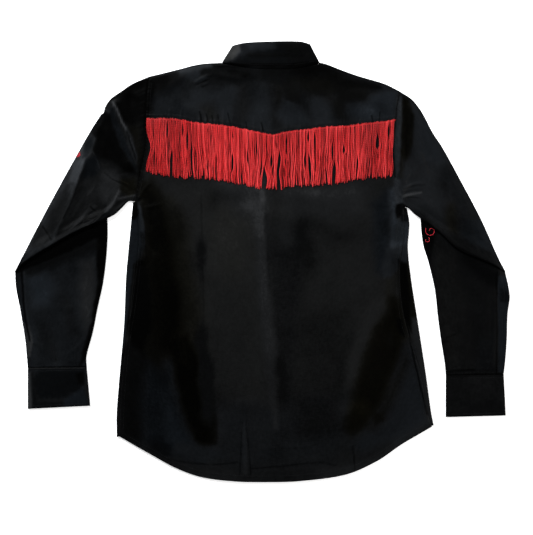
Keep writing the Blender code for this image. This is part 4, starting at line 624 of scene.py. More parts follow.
def painted_light_and_shade(points):
    """Painted light and shade of the cloth at each point, as tone and hue, from the tables above."""
    place = np.stack([points[:, 0] / UNIT + VIEW_X, VIEW_Y - points[:, 1] / UNIT], axis=-1)
    ragged = np.stack([rumple(place, n, 14, 1.0) + rumple(place, n + 1, 5, 0.25) for n in (61, 63)], axis=-1)
    tone, hue = np.full(len(place), BASE_TONE), np.zeros(len(place))

    def around(numbers, reach, bend, closed=False):
        """The points within reach of a line or patch of corners, and their distance to it."""
        corners = np.array(numbers, float).reshape(-1, 2)
        near = ((place > corners.min(axis=0) - reach) & (place < corners.max(axis=0) + reach)).all(axis=1)
        return near, nearness(place[near] + ragged[near] * bend, corners, closed)

    for level, cast, soft, *numbers in PAINTED_LIGHT_PATCHES:
        soft *= 1 + 0.35 * min(1.0, max(0.0, soft / 2 - 1))
        near, gap = around(numbers, soft + 2, 0.7 * min(1.0, soft / 3), True)
        cover = smooth(0.5 - gap / (2 * soft))
        tone[near] += (level - tone[near]) * cover
        hue[near] += (cast - hue[near]) * cover
    for level, width, *numbers in PAINTED_LIGHT_STROKES:
        near, gap = around(numbers, 4, 0.25)
        tone[near] += (level - tone[near]) * STROKE_COVER * bell(gap, width)
    for change, width, *numbers in PAINTED_LIGHT_TOUCHES:
        near, gap = around(numbers, 2.5 * width, 0.0)
        tone[near] += change * bell(gap, width)
    # Low on the cloth, the tone fades to the underside's painted shade.
    shown = smooth((points[:, 2] - 1.6) / 1.2)
    return mix(UNDERSIDE_SHADE_TONE, tone, shown), hue * shown


def mounds(place, table):
    """Height of the broad rises and hollows."""
    height = np.zeros(place.shape[:-1])
    for x, y, reach_x, reach_y, lean, rise in table:
        turn = math.radians(lean)
        dx, dy = (place[..., 0] - mm_x(x)) / UNIT, (place[..., 1] - mm_y(y)) / UNIT
        across = (dx * math.cos(turn) + dy * math.sin(turn)) / reach_x
        along = (dy * math.cos(turn) - dx * math.sin(turn)) / reach_y
        height += rise * np.exp(-(across ** 2 + along ** 2))
    return height


def neck_lift(place):
    """How far the fronts rise over the collar's leaves, which lie under them."""
    aside = np.abs(place[..., 0] - CENTRE_X - 1)
    along = smooth((place[..., 1] - 150) / 45)
    across = smooth((112 - aside) / 16) * smooth((aside - PLACKET_HALF - 1.3) / 7)
    return NECK_LIFT * along * across


def freed(place, least):
    """How freely the back's folds stand: least in the middle of the fringe, whose cords press them flat."""
    return mix(least, 1, smooth(np.abs(place[..., 1] - FRINGE_MIDDLE) / 80))


def back_height(place):
    """Upper face of the back and the yoke in the solids."""
    return BACK_TOP + gentle(place, BODY_FOLDS) * smooth((392 - place[..., 1]) / 60) * freed(place, 0.25)


def back_surface(place):
    """Upper face of the back and the yoke with all its creases."""
    fine = mounds(place, AIR) * freed(place, 0.35) + creased(place, BODY_CREASES)
    fine += rumple(place, 4, 70, 0.35) + rumple(place, 5, 24, 0.10)
    return back_height(place) + fine * smooth((380 - place[..., 1]) / 25)


def front_lap(place):
    """How far the right front rises to lap over the front band."""
    return NECK_LIFT * smooth((CENTRE_X + 90 - place[..., 0]) / 30)


def steps_between(points, axis):
    """Distance of each point of a grid from the grid's first and last row (axis 0) or column (axis 1)."""
    gaps = np.linalg.norm(np.diff(points[..., :2], axis=axis), axis=-1)
    zero = np.zeros_like(np.take(gaps, [0], axis=axis))
    near = np.concatenate([zero, np.cumsum(gaps, axis=axis)], axis=axis)
    return near, np.take(near, [-1], axis=axis) - near


# ---------------------------------------------------------------- meshes
def raised(place, height):
    """The places with a height added to each."""
    return np.concatenate([place, np.broadcast_to(height, place.shape[:-1])[..., None]], axis=-1)


def turned_under(row, inward, depth, thick, steps=5):
    """Rows that carry an edge round and back under the cloth, from the inside out."""
    inward = np.broadcast_to(inward, (len(row), 2))
    rows = []
    for n in range(steps + 1):
        angle = math.pi * n / steps
        shift = -inward * math.sin(angle) * thick / 2
        drop = np.full((len(row), 1), (math.cos(angle) - 1) * thick / 2)
        rows.append(row + np.concatenate([shift, drop], axis=1))
    for share in (0.4, 1.0):
        rows.append(rows[steps] + np.concatenate([inward * depth * share, np.zeros((len(row), 1))], axis=1))
    return np.stack(rows[:0:-1])


def mesh_object(name, points, faces):
    """A mesh whose points are given in millimetres."""
    mesh = bpy.data.meshes.new(name)
    mesh.from_pydata((points * MM).tolist(), [], faces.tolist())
    mesh.update()
    thing = bpy.data.objects.new(name, mesh)
    bpy.context.scene.collection.objects.link(thing)
    return thing


def corners_of(mesh):
    """The mesh's points in millimetres."""
    corners = np.empty(len(mesh.vertices) * 3, np.float32)
    mesh.vertices.foreach_get("co", corners)
    return corners.reshape(-1, 3) / MM


def dressed(thing, finish):
    """Gives a mesh its material and rides it on the body."""
    thing.data.shade_smooth()
    thing.data.materials.append(finish)
    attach(thing, "root")
    return thing


def mark(mesh, name, values):
    """Stores a number for each point, which the materials read."""
    mesh.attributes.new(name, "FLOAT", "POINT").data.foreach_set("value", values.astype(np.float32))


def grid_faces(first, rows, columns):
    """Faces of a grid of points that are counted row by row."""
    index = first + np.arange(rows * columns).reshape(rows, columns)
    return np.stack([index[:-1, :-1], index[:-1, 1:], index[1:, 1:], index[1:, :-1]], axis=-1).reshape(-1, 4)


def sewn(name, node, finish, grids, sharp=60):
    """Grids of points, welded into one mesh with the cloth's own coordinates in its UV map."""
    points, places, faces, count = [], [], [], 0
    for grid in grids:
        across = np.linalg.norm(np.diff(grid, axis=1), axis=-1).mean(axis=0)
        along = np.linalg.norm(np.diff(grid, axis=0), axis=-1).mean(axis=1)
        places.append(np.stack(np.meshgrid(np.cumsum([0, *across]), np.cumsum([0, *along])), axis=-1).reshape(-1, 2))
        points.append(grid.reshape(-1, 3))
        faces.append(grid_faces(count, *grid.shape[:2]))
        count += len(points[-1])
    faces = np.concatenate(faces)
    thing = mesh_object(name, np.concatenate(points), faces)
    mesh = thing.data
    layer = mesh.uv_layers.new(name="cloth")
    layer.data.foreach_set("uv", (np.concatenate(places)[faces.reshape(-1)] * MM).reshape(-1))
    work = bmesh.new()
    work.from_mesh(mesh)
    bmesh.ops.remove_doubles(work, verts=work.verts, dist=0.00003)
    bmesh.ops.recalc_face_normals(work, faces=work.faces)
    top = max(work.faces, key=lambda face: face.calc_center_median().z)
    if top.normal.z < 0:
        bmesh.ops.reverse_faces(work, faces=work.faces)
    work.to_mesh(mesh)
    work.free()
    tone, hue = painted_light_and_shade(corners_of(mesh))
    mark(mesh, "tone", tone)
    mark(mesh, "hue", hue)
    dressed(thing, finish)
    mesh.set_sharp_from_angle(angle=math.radians(sharp))
    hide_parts(node)
    return thing


# ---------------------------------------------------------------- materials
class Nodes:
    """Shorthand for a material's node tree."""

    def __init__(self, name):
        self.material = bpy.data.materials.new(name)
        self.material.use_nodes = True
        self.tree = self.material.node_tree
        self.shader = self.tree.nodes["Principled BSDF"]

    @cached_property
    def uv(self):
        """The cloth's own coordinates, in metres."""
        return self.add("UVMap", {"uv_map": "cloth"}).outputs[0]

    @cached_property
    def place(self):
        return self.add("TexCoord").outputs["Object"]

    def add(self, kind, settings=(), **inputs):
        node = self.tree.nodes.new("ShaderNode" + kind)
        for key, value in dict(settings).items():
            setattr(node, key, value)
        for key, value in inputs.items():
            self.link(node, key.replace("_", " "), value)
        return node

    def link(self, node, socket, value):
        socket = node.inputs[int(socket[1:])] if socket[0] == "n" and socket[1:].isdigit() else node.inputs[socket]
        if isinstance(value, bpy.types.NodeSocket):
            self.tree.links.new(value, socket)
        else:
            socket.default_value = value

    def maths(self, operation, first, second=0.0):
        return self.add("Math", {"operation": operation}, n0=first, n1=second).outputs[0]

    def blend(self, factor, first, second, way="MIX"):
        """Two colours, each a socket or its red, green and blue."""
        colours = [(*colour, 1) if isinstance(colour, tuple) else colour for colour in (first, second)]
        return self.add("MixRGB", {"blend_type": way}, n0=factor, n1=colours[0], n2=colours[1]).outputs[0]

    def levels(self, value, low, high, to_low=0.0, to_high=1.0):
        made = self.add("MapRange", Value=value, From_Min=low, From_Max=high, To_Min=to_low, To_Max=to_high)
        return made.outputs[0]

    def noise(self, place, scale, detail, **more):
        return self.add("TexNoise", Vector=place, Scale=scale, Detail=detail, **more).outputs["Fac"]

    def wave(self, place, scale, distortion, **more):
        settings = {key: more.pop(key) for key in ("wave_type", "bands_direction") if key in more}
        return self.add("TexWave", settings, Vector=place, Scale=scale, Distortion=distortion, **more).outputs["Fac"]

    def stretched(self, place, scale):
        return self.add("Mapping", Vector=place, Scale=scale).outputs[0]

    def value(self, name):
        return self.add("Attribute", {"attribute_name": name}).outputs["Fac"]

    def bump(self, height, strength, distance, **more):
        return self.add("Bump", Height=height, Strength=strength, Distance=distance, **more).outputs[0]

    def finished(self, **inputs):
        for key, value in inputs.items():
            self.link(self.shader, key.replace("_", " "), value)
        return self.material


def cloth_material(name, rough, shine):
    """Black cotton poplin: fine ribs, slubs and random mottling, with painted light and shade from the tone and hue
    marks: lighter and cooler where painted lit, darker and warmer in painted shade.
    """
    n = Nodes(name)
    ribs = n.wave(n.uv, 330.0, 0.6, bands_direction="Y", Detail=2.0, Detail_Scale=2.0)
    warp = n.wave(n.uv, 470.0, 0.8, bands_direction="X", Detail=2.0, Detail_Scale=1.5)
    slubs = n.noise(n.stretched(n.uv, (90.0, 900.0, 1.0)), 1.0, 3.0)
    pile = n.noise(n.place, 420.0, 4.0, Roughness=0.65)
    mottle = n.noise(n.place, 55.0, 4.0, Roughness=0.6)
    fleck = n.noise(n.stretched(n.uv, (190.0, 120.0, 1.0)), 1.0, 4.0, Roughness=0.65)
    broad = n.noise(n.place, 13.0, 3.0)
    shade, hue = n.value("tone"), n.value("hue")
    for pattern, reach in ((broad, 0.10), (mottle, 0.07), (slubs, 0.10), (fleck, 0.16)):
        shade = n.maths("ADD", shade, n.levels(pattern, 0.3, 0.7, -reach, reach))
    # Painted light and shade: tone 0 to 1 runs from dark to lit cloth, 1 to 2 on to painted highlights, below 0 down to
    # painted shadow.
    colour = n.blend(n.levels(shade, 0.0, 1.0), (0.0019, 0.0020, 0.0021), (0.0073, 0.0076, 0.0080))
    colour = n.blend(n.levels(shade, 1.0, 2.0), colour, (0.0276, 0.0282, 0.0294))
    colour = n.blend(n.levels(n.maths("MULTIPLY", shade, -1.0), 0.0, 1.0), colour, (0.0002, 0.0002, 0.0002))
    # Painted casts: cooler where painted lit, warmer in painted shade.
    cool = n.blend(1.0, colour, (0.84, 1.01, 1.20), "MULTIPLY")
    warm = n.blend(1.0, colour, (1.16, 1.00, 0.52), "MULTIPLY")
    colour = n.blend(n.levels(n.maths("MULTIPLY", hue, -1.0), 0.0, 1.0), colour, cool)
    colour = n.blend(n.levels(hue, 0.0, 1.0), colour, warm)
    texture = n.maths("ADD", n.maths("MULTIPLY", slubs, 0.12), n.maths("MULTIPLY", pile, 0.10))
    weave = n.maths("ADD", n.maths("MULTIPLY", ribs, 0.6), n.maths("MULTIPLY", warp, 0.4))
    weave = n.maths("ADD", weave, n.maths("MULTIPLY", slubs, 0.5))
    relief = n.bump(mottle, 0.30, 0.0015, Normal=n.bump(weave, 0.35, 0.00012))
    return n.finished(Base_Color=colour, Roughness=n.maths("ADD", texture, rough - 0.11), Specular_IOR_Level=shine,
                      Normal=relief)


def cord_material(name):
    """Red rayon cord: two plies twisted together, with painted shade in the twist's grooves and towards the roots where
    cords crowd, and some cords pale pink, partly dye and partly painted highlight.
    """
    n = Nodes(name)
    twist = n.wave(n.uv, 0.45, 0.4, bands_direction="DIAGONAL", Detail=1.0)
    fibre = n.noise(n.place, 1600.0, 3.0)
    patches = n.noise(n.place, 28.0, 2.0)
    dye_and_shading = n.value("dye_and_shading")
    base = n.blend(dye_and_shading, (0.25, 0.002, 0.003), (0.62, 0.010, 0.012))
    # Painted shade in the grooves of the twist.
    grooves = n.blend(n.levels(twist, 0.0, 0.55, 0.50, 0.0), base, (0.08, 0.002, 0.003))
    # Pale pink on the palest cords: partly dye, partly painted highlight.
    pale = n.blend(n.levels(dye_and_shading, 0.70, 1.20, 0.0, 0.7), grooves, (0.76, 0.064, 0.068))
    colour = n.blend(n.levels(patches, 0.35, 0.7, 0.0, 0.25), pale, (0.68, 0.042, 0.044))
    relief = n.bump(n.maths("ADD", twist, n.maths("MULTIPLY", fibre, 0.3)), 0.6, 0.0002)
    return n.finished(Base_Color=colour, Roughness=n.levels(fibre, 0.2, 0.8, 0.34, 0.52), Specular_IOR_Level=0.22,
                      Sheen_Weight=0.02, Sheen_Tint=(1.0, 0.5, 0.5, 1), Normal=relief)


def thread_material(name, colour, rough):
    """Sewing thread or embroidery floss: fine slanting plies and a soft shine."""
    n = Nodes(name)
    ply = n.wave(n.place, 900.0, 1.0, bands_direction="DIAGONAL")
    hair = n.noise(n.place, 2200.0, 2.0)
    shaded = n.blend(n.maths("MULTIPLY", ply, 0.6), colour, tuple(c * 0.5 for c in colour))
    return n.finished(Base_Color=shaded, Roughness=n.levels(hair, 0.2, 0.8, rough - 0.08, rough + 0.1),
                      Specular_IOR_Level=0.12, Normal=n.bump(ply, 0.5, 0.0001))


def pearl_material(name):
    """Black pearl snap cap: a cloudy dark shell with faint cool and warm swirls under a clear gloss."""
    n = Nodes(name)
    cloud = n.noise(n.place, 260.0, 4.0, Distortion=1.2)
    swirl = n.wave(n.place, 60.0, 6.0, wave_type="RINGS", Detail=2.0)
    colour = n.blend(n.levels(cloud, 0.35, 0.7), (0.010, 0.011, 0.014), (0.060, 0.064, 0.075))
    colour = n.blend(n.maths("MULTIPLY", swirl, 0.25), colour, (0.085, 0.070, 0.078))
    return n.finished(Base_Color=colour, Roughness=n.levels(cloud, 0.3, 0.8, 0.16, 0.32), Coat_Weight=0.6,
                      Coat_Roughness=0.12, Normal=n.bump(cloud, 0.15, 0.0002))


def floor_material(name):
    n = Nodes(name)
    colour = n.blend(n.noise(n.place, 14.0, 3.0), (0.90, 0.90, 0.90), (0.93, 0.93, 0.93))
    return n.finished(Base_Color=colour, Roughness=0.9, Specular_IOR_Level=0.05, Emission_Color=(1.0, 1.0, 1.0, 1),
                      Emission_Strength=0.60)


POPLIN = cloth_material("black_poplin", 0.45, 0.015)
TRIM = cloth_material("black_poplin_fused", 0.44, 0.015)
CORD = cord_material("red_cord")
THREAD = thread_material("black_thread", (0.0040, 0.0043, 0.0050), 0.55)
FLOSS = thread_material("red_floss", (0.62, 0.03, 0.045), 0.40)
PEARL = pearl_material("black_pearl")


# ---------------------------------------------------------------- back and yoke
BACK_SHARE = 12 / 18     # the side seam's share of the back's side edge; the armhole takes the rest


def spread(shape, columns, rows, top_join=0.0):
    """Places of a panel of the back, and how far each is from the lower, upper, left and nearer side edge."""
    place = shape(*np.meshgrid(columns, rows))
    place[:, 0, 0] += JOIN
    place[:, -1, 0] -= JOIN
    place[-1, :, 1] -= top_join
    near_left, near_right = steps_between(place, 1)
    return place, *steps_between(place, 0), near_left, np.minimum(near_left, near_right)


def folded(name, node, place, height, depth, thick):
    """A panel of the back whose lower edge is folded under."""
    grid = raised(place, height)
    fold = turned_under(grid[0], unit(place[1] - place[0]), depth, thick)
    return sewn(name, node, POPLIN, [np.concatenate([fold, grid])])


def make_back():
    """The back panel, from its folded hem to the yoke seam."""
    left = joined(curve(LEFT_SEAM), curve(LEFT_ARMHOLE[: YOKE_CORNER + 1]), BACK_SHARE)
    right = joined(curve(RIGHT_SEAM), curve(RIGHT_ARMHOLE[: YOKE_CORNER + 1]), BACK_SHARE)
    hem_full = curve(HEM)
    start, end = left(0.0), right(0.0)

    def hem(t):
        t = np.asarray(t, float)
        place = hem_full(0.006 + 0.988 * t)
        near, far = ((1 - t) ** 6)[..., None], (t ** 6)[..., None]
        return place + (start - hem_full(0.006)) * near + (end - hem_full(0.994)) * far

    place, near_hem, near_seam, near_left, side = spread(
        patch(hem, curve(YOKE_SEAM), left, right), marks_for(510, 1.95), marks_for(640, 2.0), JOIN)
    height = back_surface(place) + ripple(near_hem, 21) * 0.22 * fade(side, 7) - 0.75 * bell(side, 1.1)
    height += 0.30 * smooth((9.0 - side) / 1.5) - 0.15 * bell(side - 7.6, 0.9)
    height += 0.42 * smooth((13.5 - near_hem) / 1.4) + ripple(near_left, 22) * 0.20 * fade(near_hem, 9)
    height -= 0.22 * bell(near_hem - 11.6, 0.9) + 0.5 * smooth((6 - near_seam) / 6)
    return folded("shirt_back", "back", place, height, 11.0, 0.9)


YOKE_LAP = 1.5           # how far the yoke's edge laps the fringe's tape
YOKE_SHOULDER_SHARE = 5 / 18   # the left shoulder's share of the yoke's top edge
YOKE_NECK_SHARE = 8 / 13       # the neck's share of what is left of it


def make_yoke():
    """The yoke, whose lower edge laps over the back and dips to a point."""
    turn = BACK_TOP / 2 + SEAM
    shoulder_left, shoulder_right = inset(curve(LEFT_SHOULDER), -turn), inset(curve(RIGHT_SHOULDER), -turn)
    top = joined(shoulder_left, joined(inset(curve(BACK_NECK), -SEAM), shoulder_right, YOKE_NECK_SHARE),
                 YOKE_SHOULDER_SHARE)
    left, right = curve(LEFT_ARMHOLE[YOKE_CORNER:]), curve(RIGHT_ARMHOLE[YOKE_CORNER:])
    shape = patch(curve(YOKE_SEAM), top, drawn(left, top(0.0) - left(1.0), 4), drawn(right, top(1.0) - right(1.0), 4))
    place, near_seam, near_neck, near_left, side = spread(shape, marks_for(474, 1.4), marks_for(110, 1.4))
    place[..., 1] -= YOKE_LAP * smooth((12 - near_seam) / 12)
    height = back_surface(place) + ripple(near_left, 31) * 0.30 * fade(near_seam, 6)
    height += 0.55 * smooth((14 - near_seam) / 12) + 0.35 * smooth((7.5 - near_seam) / 1.2)
    height += ripple(near_seam, 32) * 0.2 * fade(side, 6) - 0.7 * bell(side, 1.1)
    height -= 0.18 * bell(near_seam - 1.8, 0.7) + 0.8 * bell(near_neck, 1.2)
    return folded("shirt_yoke", "yoke", place, height, 6.0, 0.7)


# ---------------------------------------------------------------- fronts and band
SIDE_SHARE = 12 / 20     # the side seam's share of a front's outer edge; the armhole takes the rest
SHOULDER_SHARE = 5 / 9   # the shoulder's share of its top edge; the neck takes the rest
SHOULDER_COLUMNS = 26
YOKE_MARK = 0.68         # where the yoke's corner lies along the armhole


def armhole_curve(table):
    """The armhole, with the yoke corner at its mark."""
    return joined(curve(table[: YOKE_CORNER + 1]), curve(table[YOKE_CORNER:]), YOKE_MARK)


def half_round(edges, inward, lows, highs, steps=9):
    """Rows of points that turn from the lower layer up to the upper one round a side edge."""
    radius = ((highs - lows) / 2)[:, None]
    middle = raised(edges + inward * radius, (lows + highs) / 2)
    rows = []
    for n in range(steps + 1):
        angle = math.pi * n / steps - math.pi / 2
        ray = np.concatenate([-inward * math.cos(angle), np.full((len(edges), 1), math.sin(angle))], axis=1)
        rows.append(middle + ray * radius)
    return np.stack(rows)


def edge_bend(edges, way, radius):
    """The bend of a flat tube's side edge, from the layer on the floor up to the top one."""
    return half_round(edges, way, np.full(len(radius), FLOOR_GAP), radius * 2, 8).transpose(1, 0, 2)


def tube(top, low, bends):
    """A flat tube's two layers and the bends of its side edges, as one sheet all round."""
    for bend, end in zip(bends, (0, -1)):
        bend[:, -1], bend[:, 0] = top[:, end], low[:, end]
    return np.concatenate([top, bends[1][:, -2::-1], low[:, -2::-1], bends[0][:, 1:]], axis=1)


def make_front(name, node, side, seam, armhole, shoulder, neck, inner_x, sign, lift):
    """One front: under the back, round the side edge and up to the side seam on top."""
    side, seam, armhole = curve(side), curve(seam), armhole_curve(armhole)
    shoulder, neck, hem_all = curve(shoulder), curve(neck), curve(HEM)
    if sign < 0:
        shoulder = reverse(shoulder)

    def lower(place):
        return np.maximum(lift(place), neck_lift(place))

    def side_radius(t):
        return (back_height(seam(t)) - lower(side(t))) / 2

    def flat_side(t):
        radius = side_radius(t)
        return side(t) + np.stack([sign * radius, np.zeros_like(radius)], axis=-1)

    turn = BACK_TOP / 2
    shoulder_flat = inset(shoulder, -turn * sign)
    short = shoulder_flat(0.0) - armhole(1.0) - np.array((sign * SEAM, 0.0))
    outer = joined(flat_side, drawn(lambda t: armhole(t) + np.array((sign * SEAM, 0.0)), short, 6), SIDE_SHARE)
    first = outer(0.0)
    ends = joined(shoulder_flat, inset(neck, -SEAM * sign), SHOULDER_SHARE)
    end = np.array((inner_x, neck(1.0)[1] - SEAM))
    samples = hem_all(np.linspace(0, 1, 1500))

    def hem(t):
        t = np.asarray(t, float)
        x = mix(first[0], inner_x, t)
        y = np.interp(x, samples[:, 0], samples[:, 1]) + HEM_LIFT
        return np.stack([x, y + (first[1] - y) * (1 - t) ** 12], axis=-1)

    def inner(t):
        return mix(hem(1.0), end, np.asarray(t, float)[..., None])

    shape = patch(hem, drawn(ends, end - ends(1.0), 8), outer, inner)
    rows_low = np.linspace(0, SIDE_SHARE, 90)
    rows = np.concatenate([rows_low, np.linspace(SIDE_SHARE, 1, 40)[1:]])
    columns = np.concatenate([np.linspace(0, SHOULDER_SHARE, SHOULDER_COLUMNS),
                              np.linspace(SHOULDER_SHARE, 1, 16)[1:]])
    place = shape(*np.meshgrid(columns, rows))
    near_edge, near_inner = steps_between(place, 1)
    near_hem, near_top = steps_between(place, 0)
    calm = smooth(near_edge / 25) * smooth(near_inner / 18) * smooth(near_hem / 16) * smooth(near_top / 22)
    soft = np.clip(rumple(place, 40 + sign, 90, 1.0) + rumple(place, 42 + sign, 35, 0.3), 0, 3)
    flat = raised(place, lower(place) + FLOOR_GAP + soft * calm)

    # the side, wrapped round and up on to the back as far as its seam
    t = rows_low / SIDE_SHARE
    highs = back_surface(seam(t))
    inward = np.tile((float(sign), 0.0), (len(t), 1))
    bend = half_round(side(t), inward, flat[: len(t), 0, 2], highs)
    flat[: len(t), 0, :2] = bend[0][:, :2]
    strip = []
    reach = seam(t) + np.array((-sign * SEAM / 2, 0.0)) - bend[-1][:, :2]
    reach[:, 0] = sign * np.maximum(sign * reach[:, 0], 0.8)
    for s in (0.15, 0.35, 0.55, 0.72, 0.85, 0.93, 1.0):
        spot = bend[-1][:, :2] + reach * s
        gap = np.linalg.norm(reach, axis=1) * (1 - s)
        height = mix(highs, back_surface(spot), s) - 0.75 * bell(gap, 1.1) + ripple(t * 440, 51) * 0.25 * fade(gap, 6)
        strip.append(raised(spot, height))
    wrap = np.concatenate([bend, np.stack(strip)])

    # the shoulder, turned up to the yoke
    marks = np.linspace(0, 1, SHOULDER_COLUMNS)
    way = unit(shoulder_flat(marks) - shoulder(marks))
    tops = flat[-1, :SHOULDER_COLUMNS]
    cap = half_round(tops[:, :2] - way * turn, way, tops[:, 2].copy(), np.full(len(marks), BACK_TOP - 0.25))
    tops[:, :2] = cap[0][:, :2]
    return sewn(name, node, POPLIN, [flat, wrap.transpose(1, 0, 2), cap])


def make_placket():
    """The band that closes the fronts."""
    left, right = CENTRE_X - PLACKET_HALF, CENTRE_X + PLACKET_HALF
    hem = curve(HEM)(np.linspace(0, 1, 800))
    u, v = np.meshgrid(marks_for(38, 3.0), np.linspace(0, 1, 160))
    x = mix(left, right, u)
    y = mix(np.interp(x, hem[:, 0], hem[:, 1]) + HEM_LIFT, LEFT_NECK[-1][1] - 2 * SEAM, v)
    place = np.stack([x, y], axis=-1)
    side = np.minimum(x - left, right - x)
    height = 0.12 + 0.10 * bell(side, 0.8) + 0.05 * ripple(y, 61) * fade(side, 5) + 0.06
    low = raised(place, height)
    high = raised(place, height + 1.0)
    rims = [np.stack([low[:, end], high[:, end]], axis=1) for end in (0, -1)]
    rims += [np.stack([low[end], high[end]]) for end in (0, -1)]
    return sewn("front_band", "placket", TRIM, [low, high, *rims])


# ---------------------------------------------------------------- sleeves and cuffs
def between_marks(x, table, column):
    """A table's column at each share, eased between its rows."""
    shares = [row[0] for row in table]
    values = np.array([row[column] for row in table], float)
    i = np.clip(np.searchsorted(shares, x, side="right") - 1, 0, len(shares) - 2)
    low, high = np.array(shares)[i], np.array(shares)[i + 1]
    return mix(values[i], values[i + 1], smooth((x - low) / (high - low)))


def tuck_profile(turn, depth):
    """One line of the elbow's fold, in (along the arm, height) from the forearm's upper face at its far end."""
    radius = 0.8
    steps = 6
    angle = math.radians(turn)
    drop = 2 * radius * (1 - math.cos(angle))
    back = max(depth, (4 * radius - drop) / math.sin(angle), 0.3)
    places = [np.zeros(2)]
    for n in range(1, steps + 1):
        heading = angle * n / steps
        places.append(np.array((math.sin(heading), math.cos(heading) - 1)) * radius)
    bottom = places[-1]
    for share in (0.33, 0.67, 1.0):
        places.append(bottom + np.array((math.cos(angle), -math.sin(angle))) * back * share)
    pivot = places[-1] + np.array((math.sin(angle), math.cos(angle))) * radius
    for n in range(1, steps + 1):
        heading = angle * (1 - n / steps)
        places.append(pivot - np.array((math.sin(heading), math.cos(heading))) * radius)
    lead = max(place[0] for place in places[: steps + 2])
    return np.array(places) - (lead, places[-1][1])


TUCK_RISE = 0.9          # how much the upper arm puffs up beside the elbow's fold
TUCK_LIFT = 2.6          # how high the fold itself lies over the forearm
ARM_WIDTH, WRIST_WIDTH = 210, 108
EDGE_EASE = 34           # how far from a sleeve's side edge its cloth makes room for the bend
PIT_DENT = 4.6           # how far the left sleeve's inner edge is pulled in under the arm
LIP_CLEAR = 1.7          # height left free above and below the cloth turned in at a sleeve's ends


def turned_in(rim, share, top, shift):
    """A sleeve's end and the lip of cloth that runs on inside the piece it is sewn to."""
    lip = mix(rim.mean(axis=0), rim, share)
    lip[:, 2] = np.clip(rim[:, 2], LIP_CLEAR, top - LIP_CLEAR)
    lip[:, :2] += shift
    return np.stack([rim, lip])


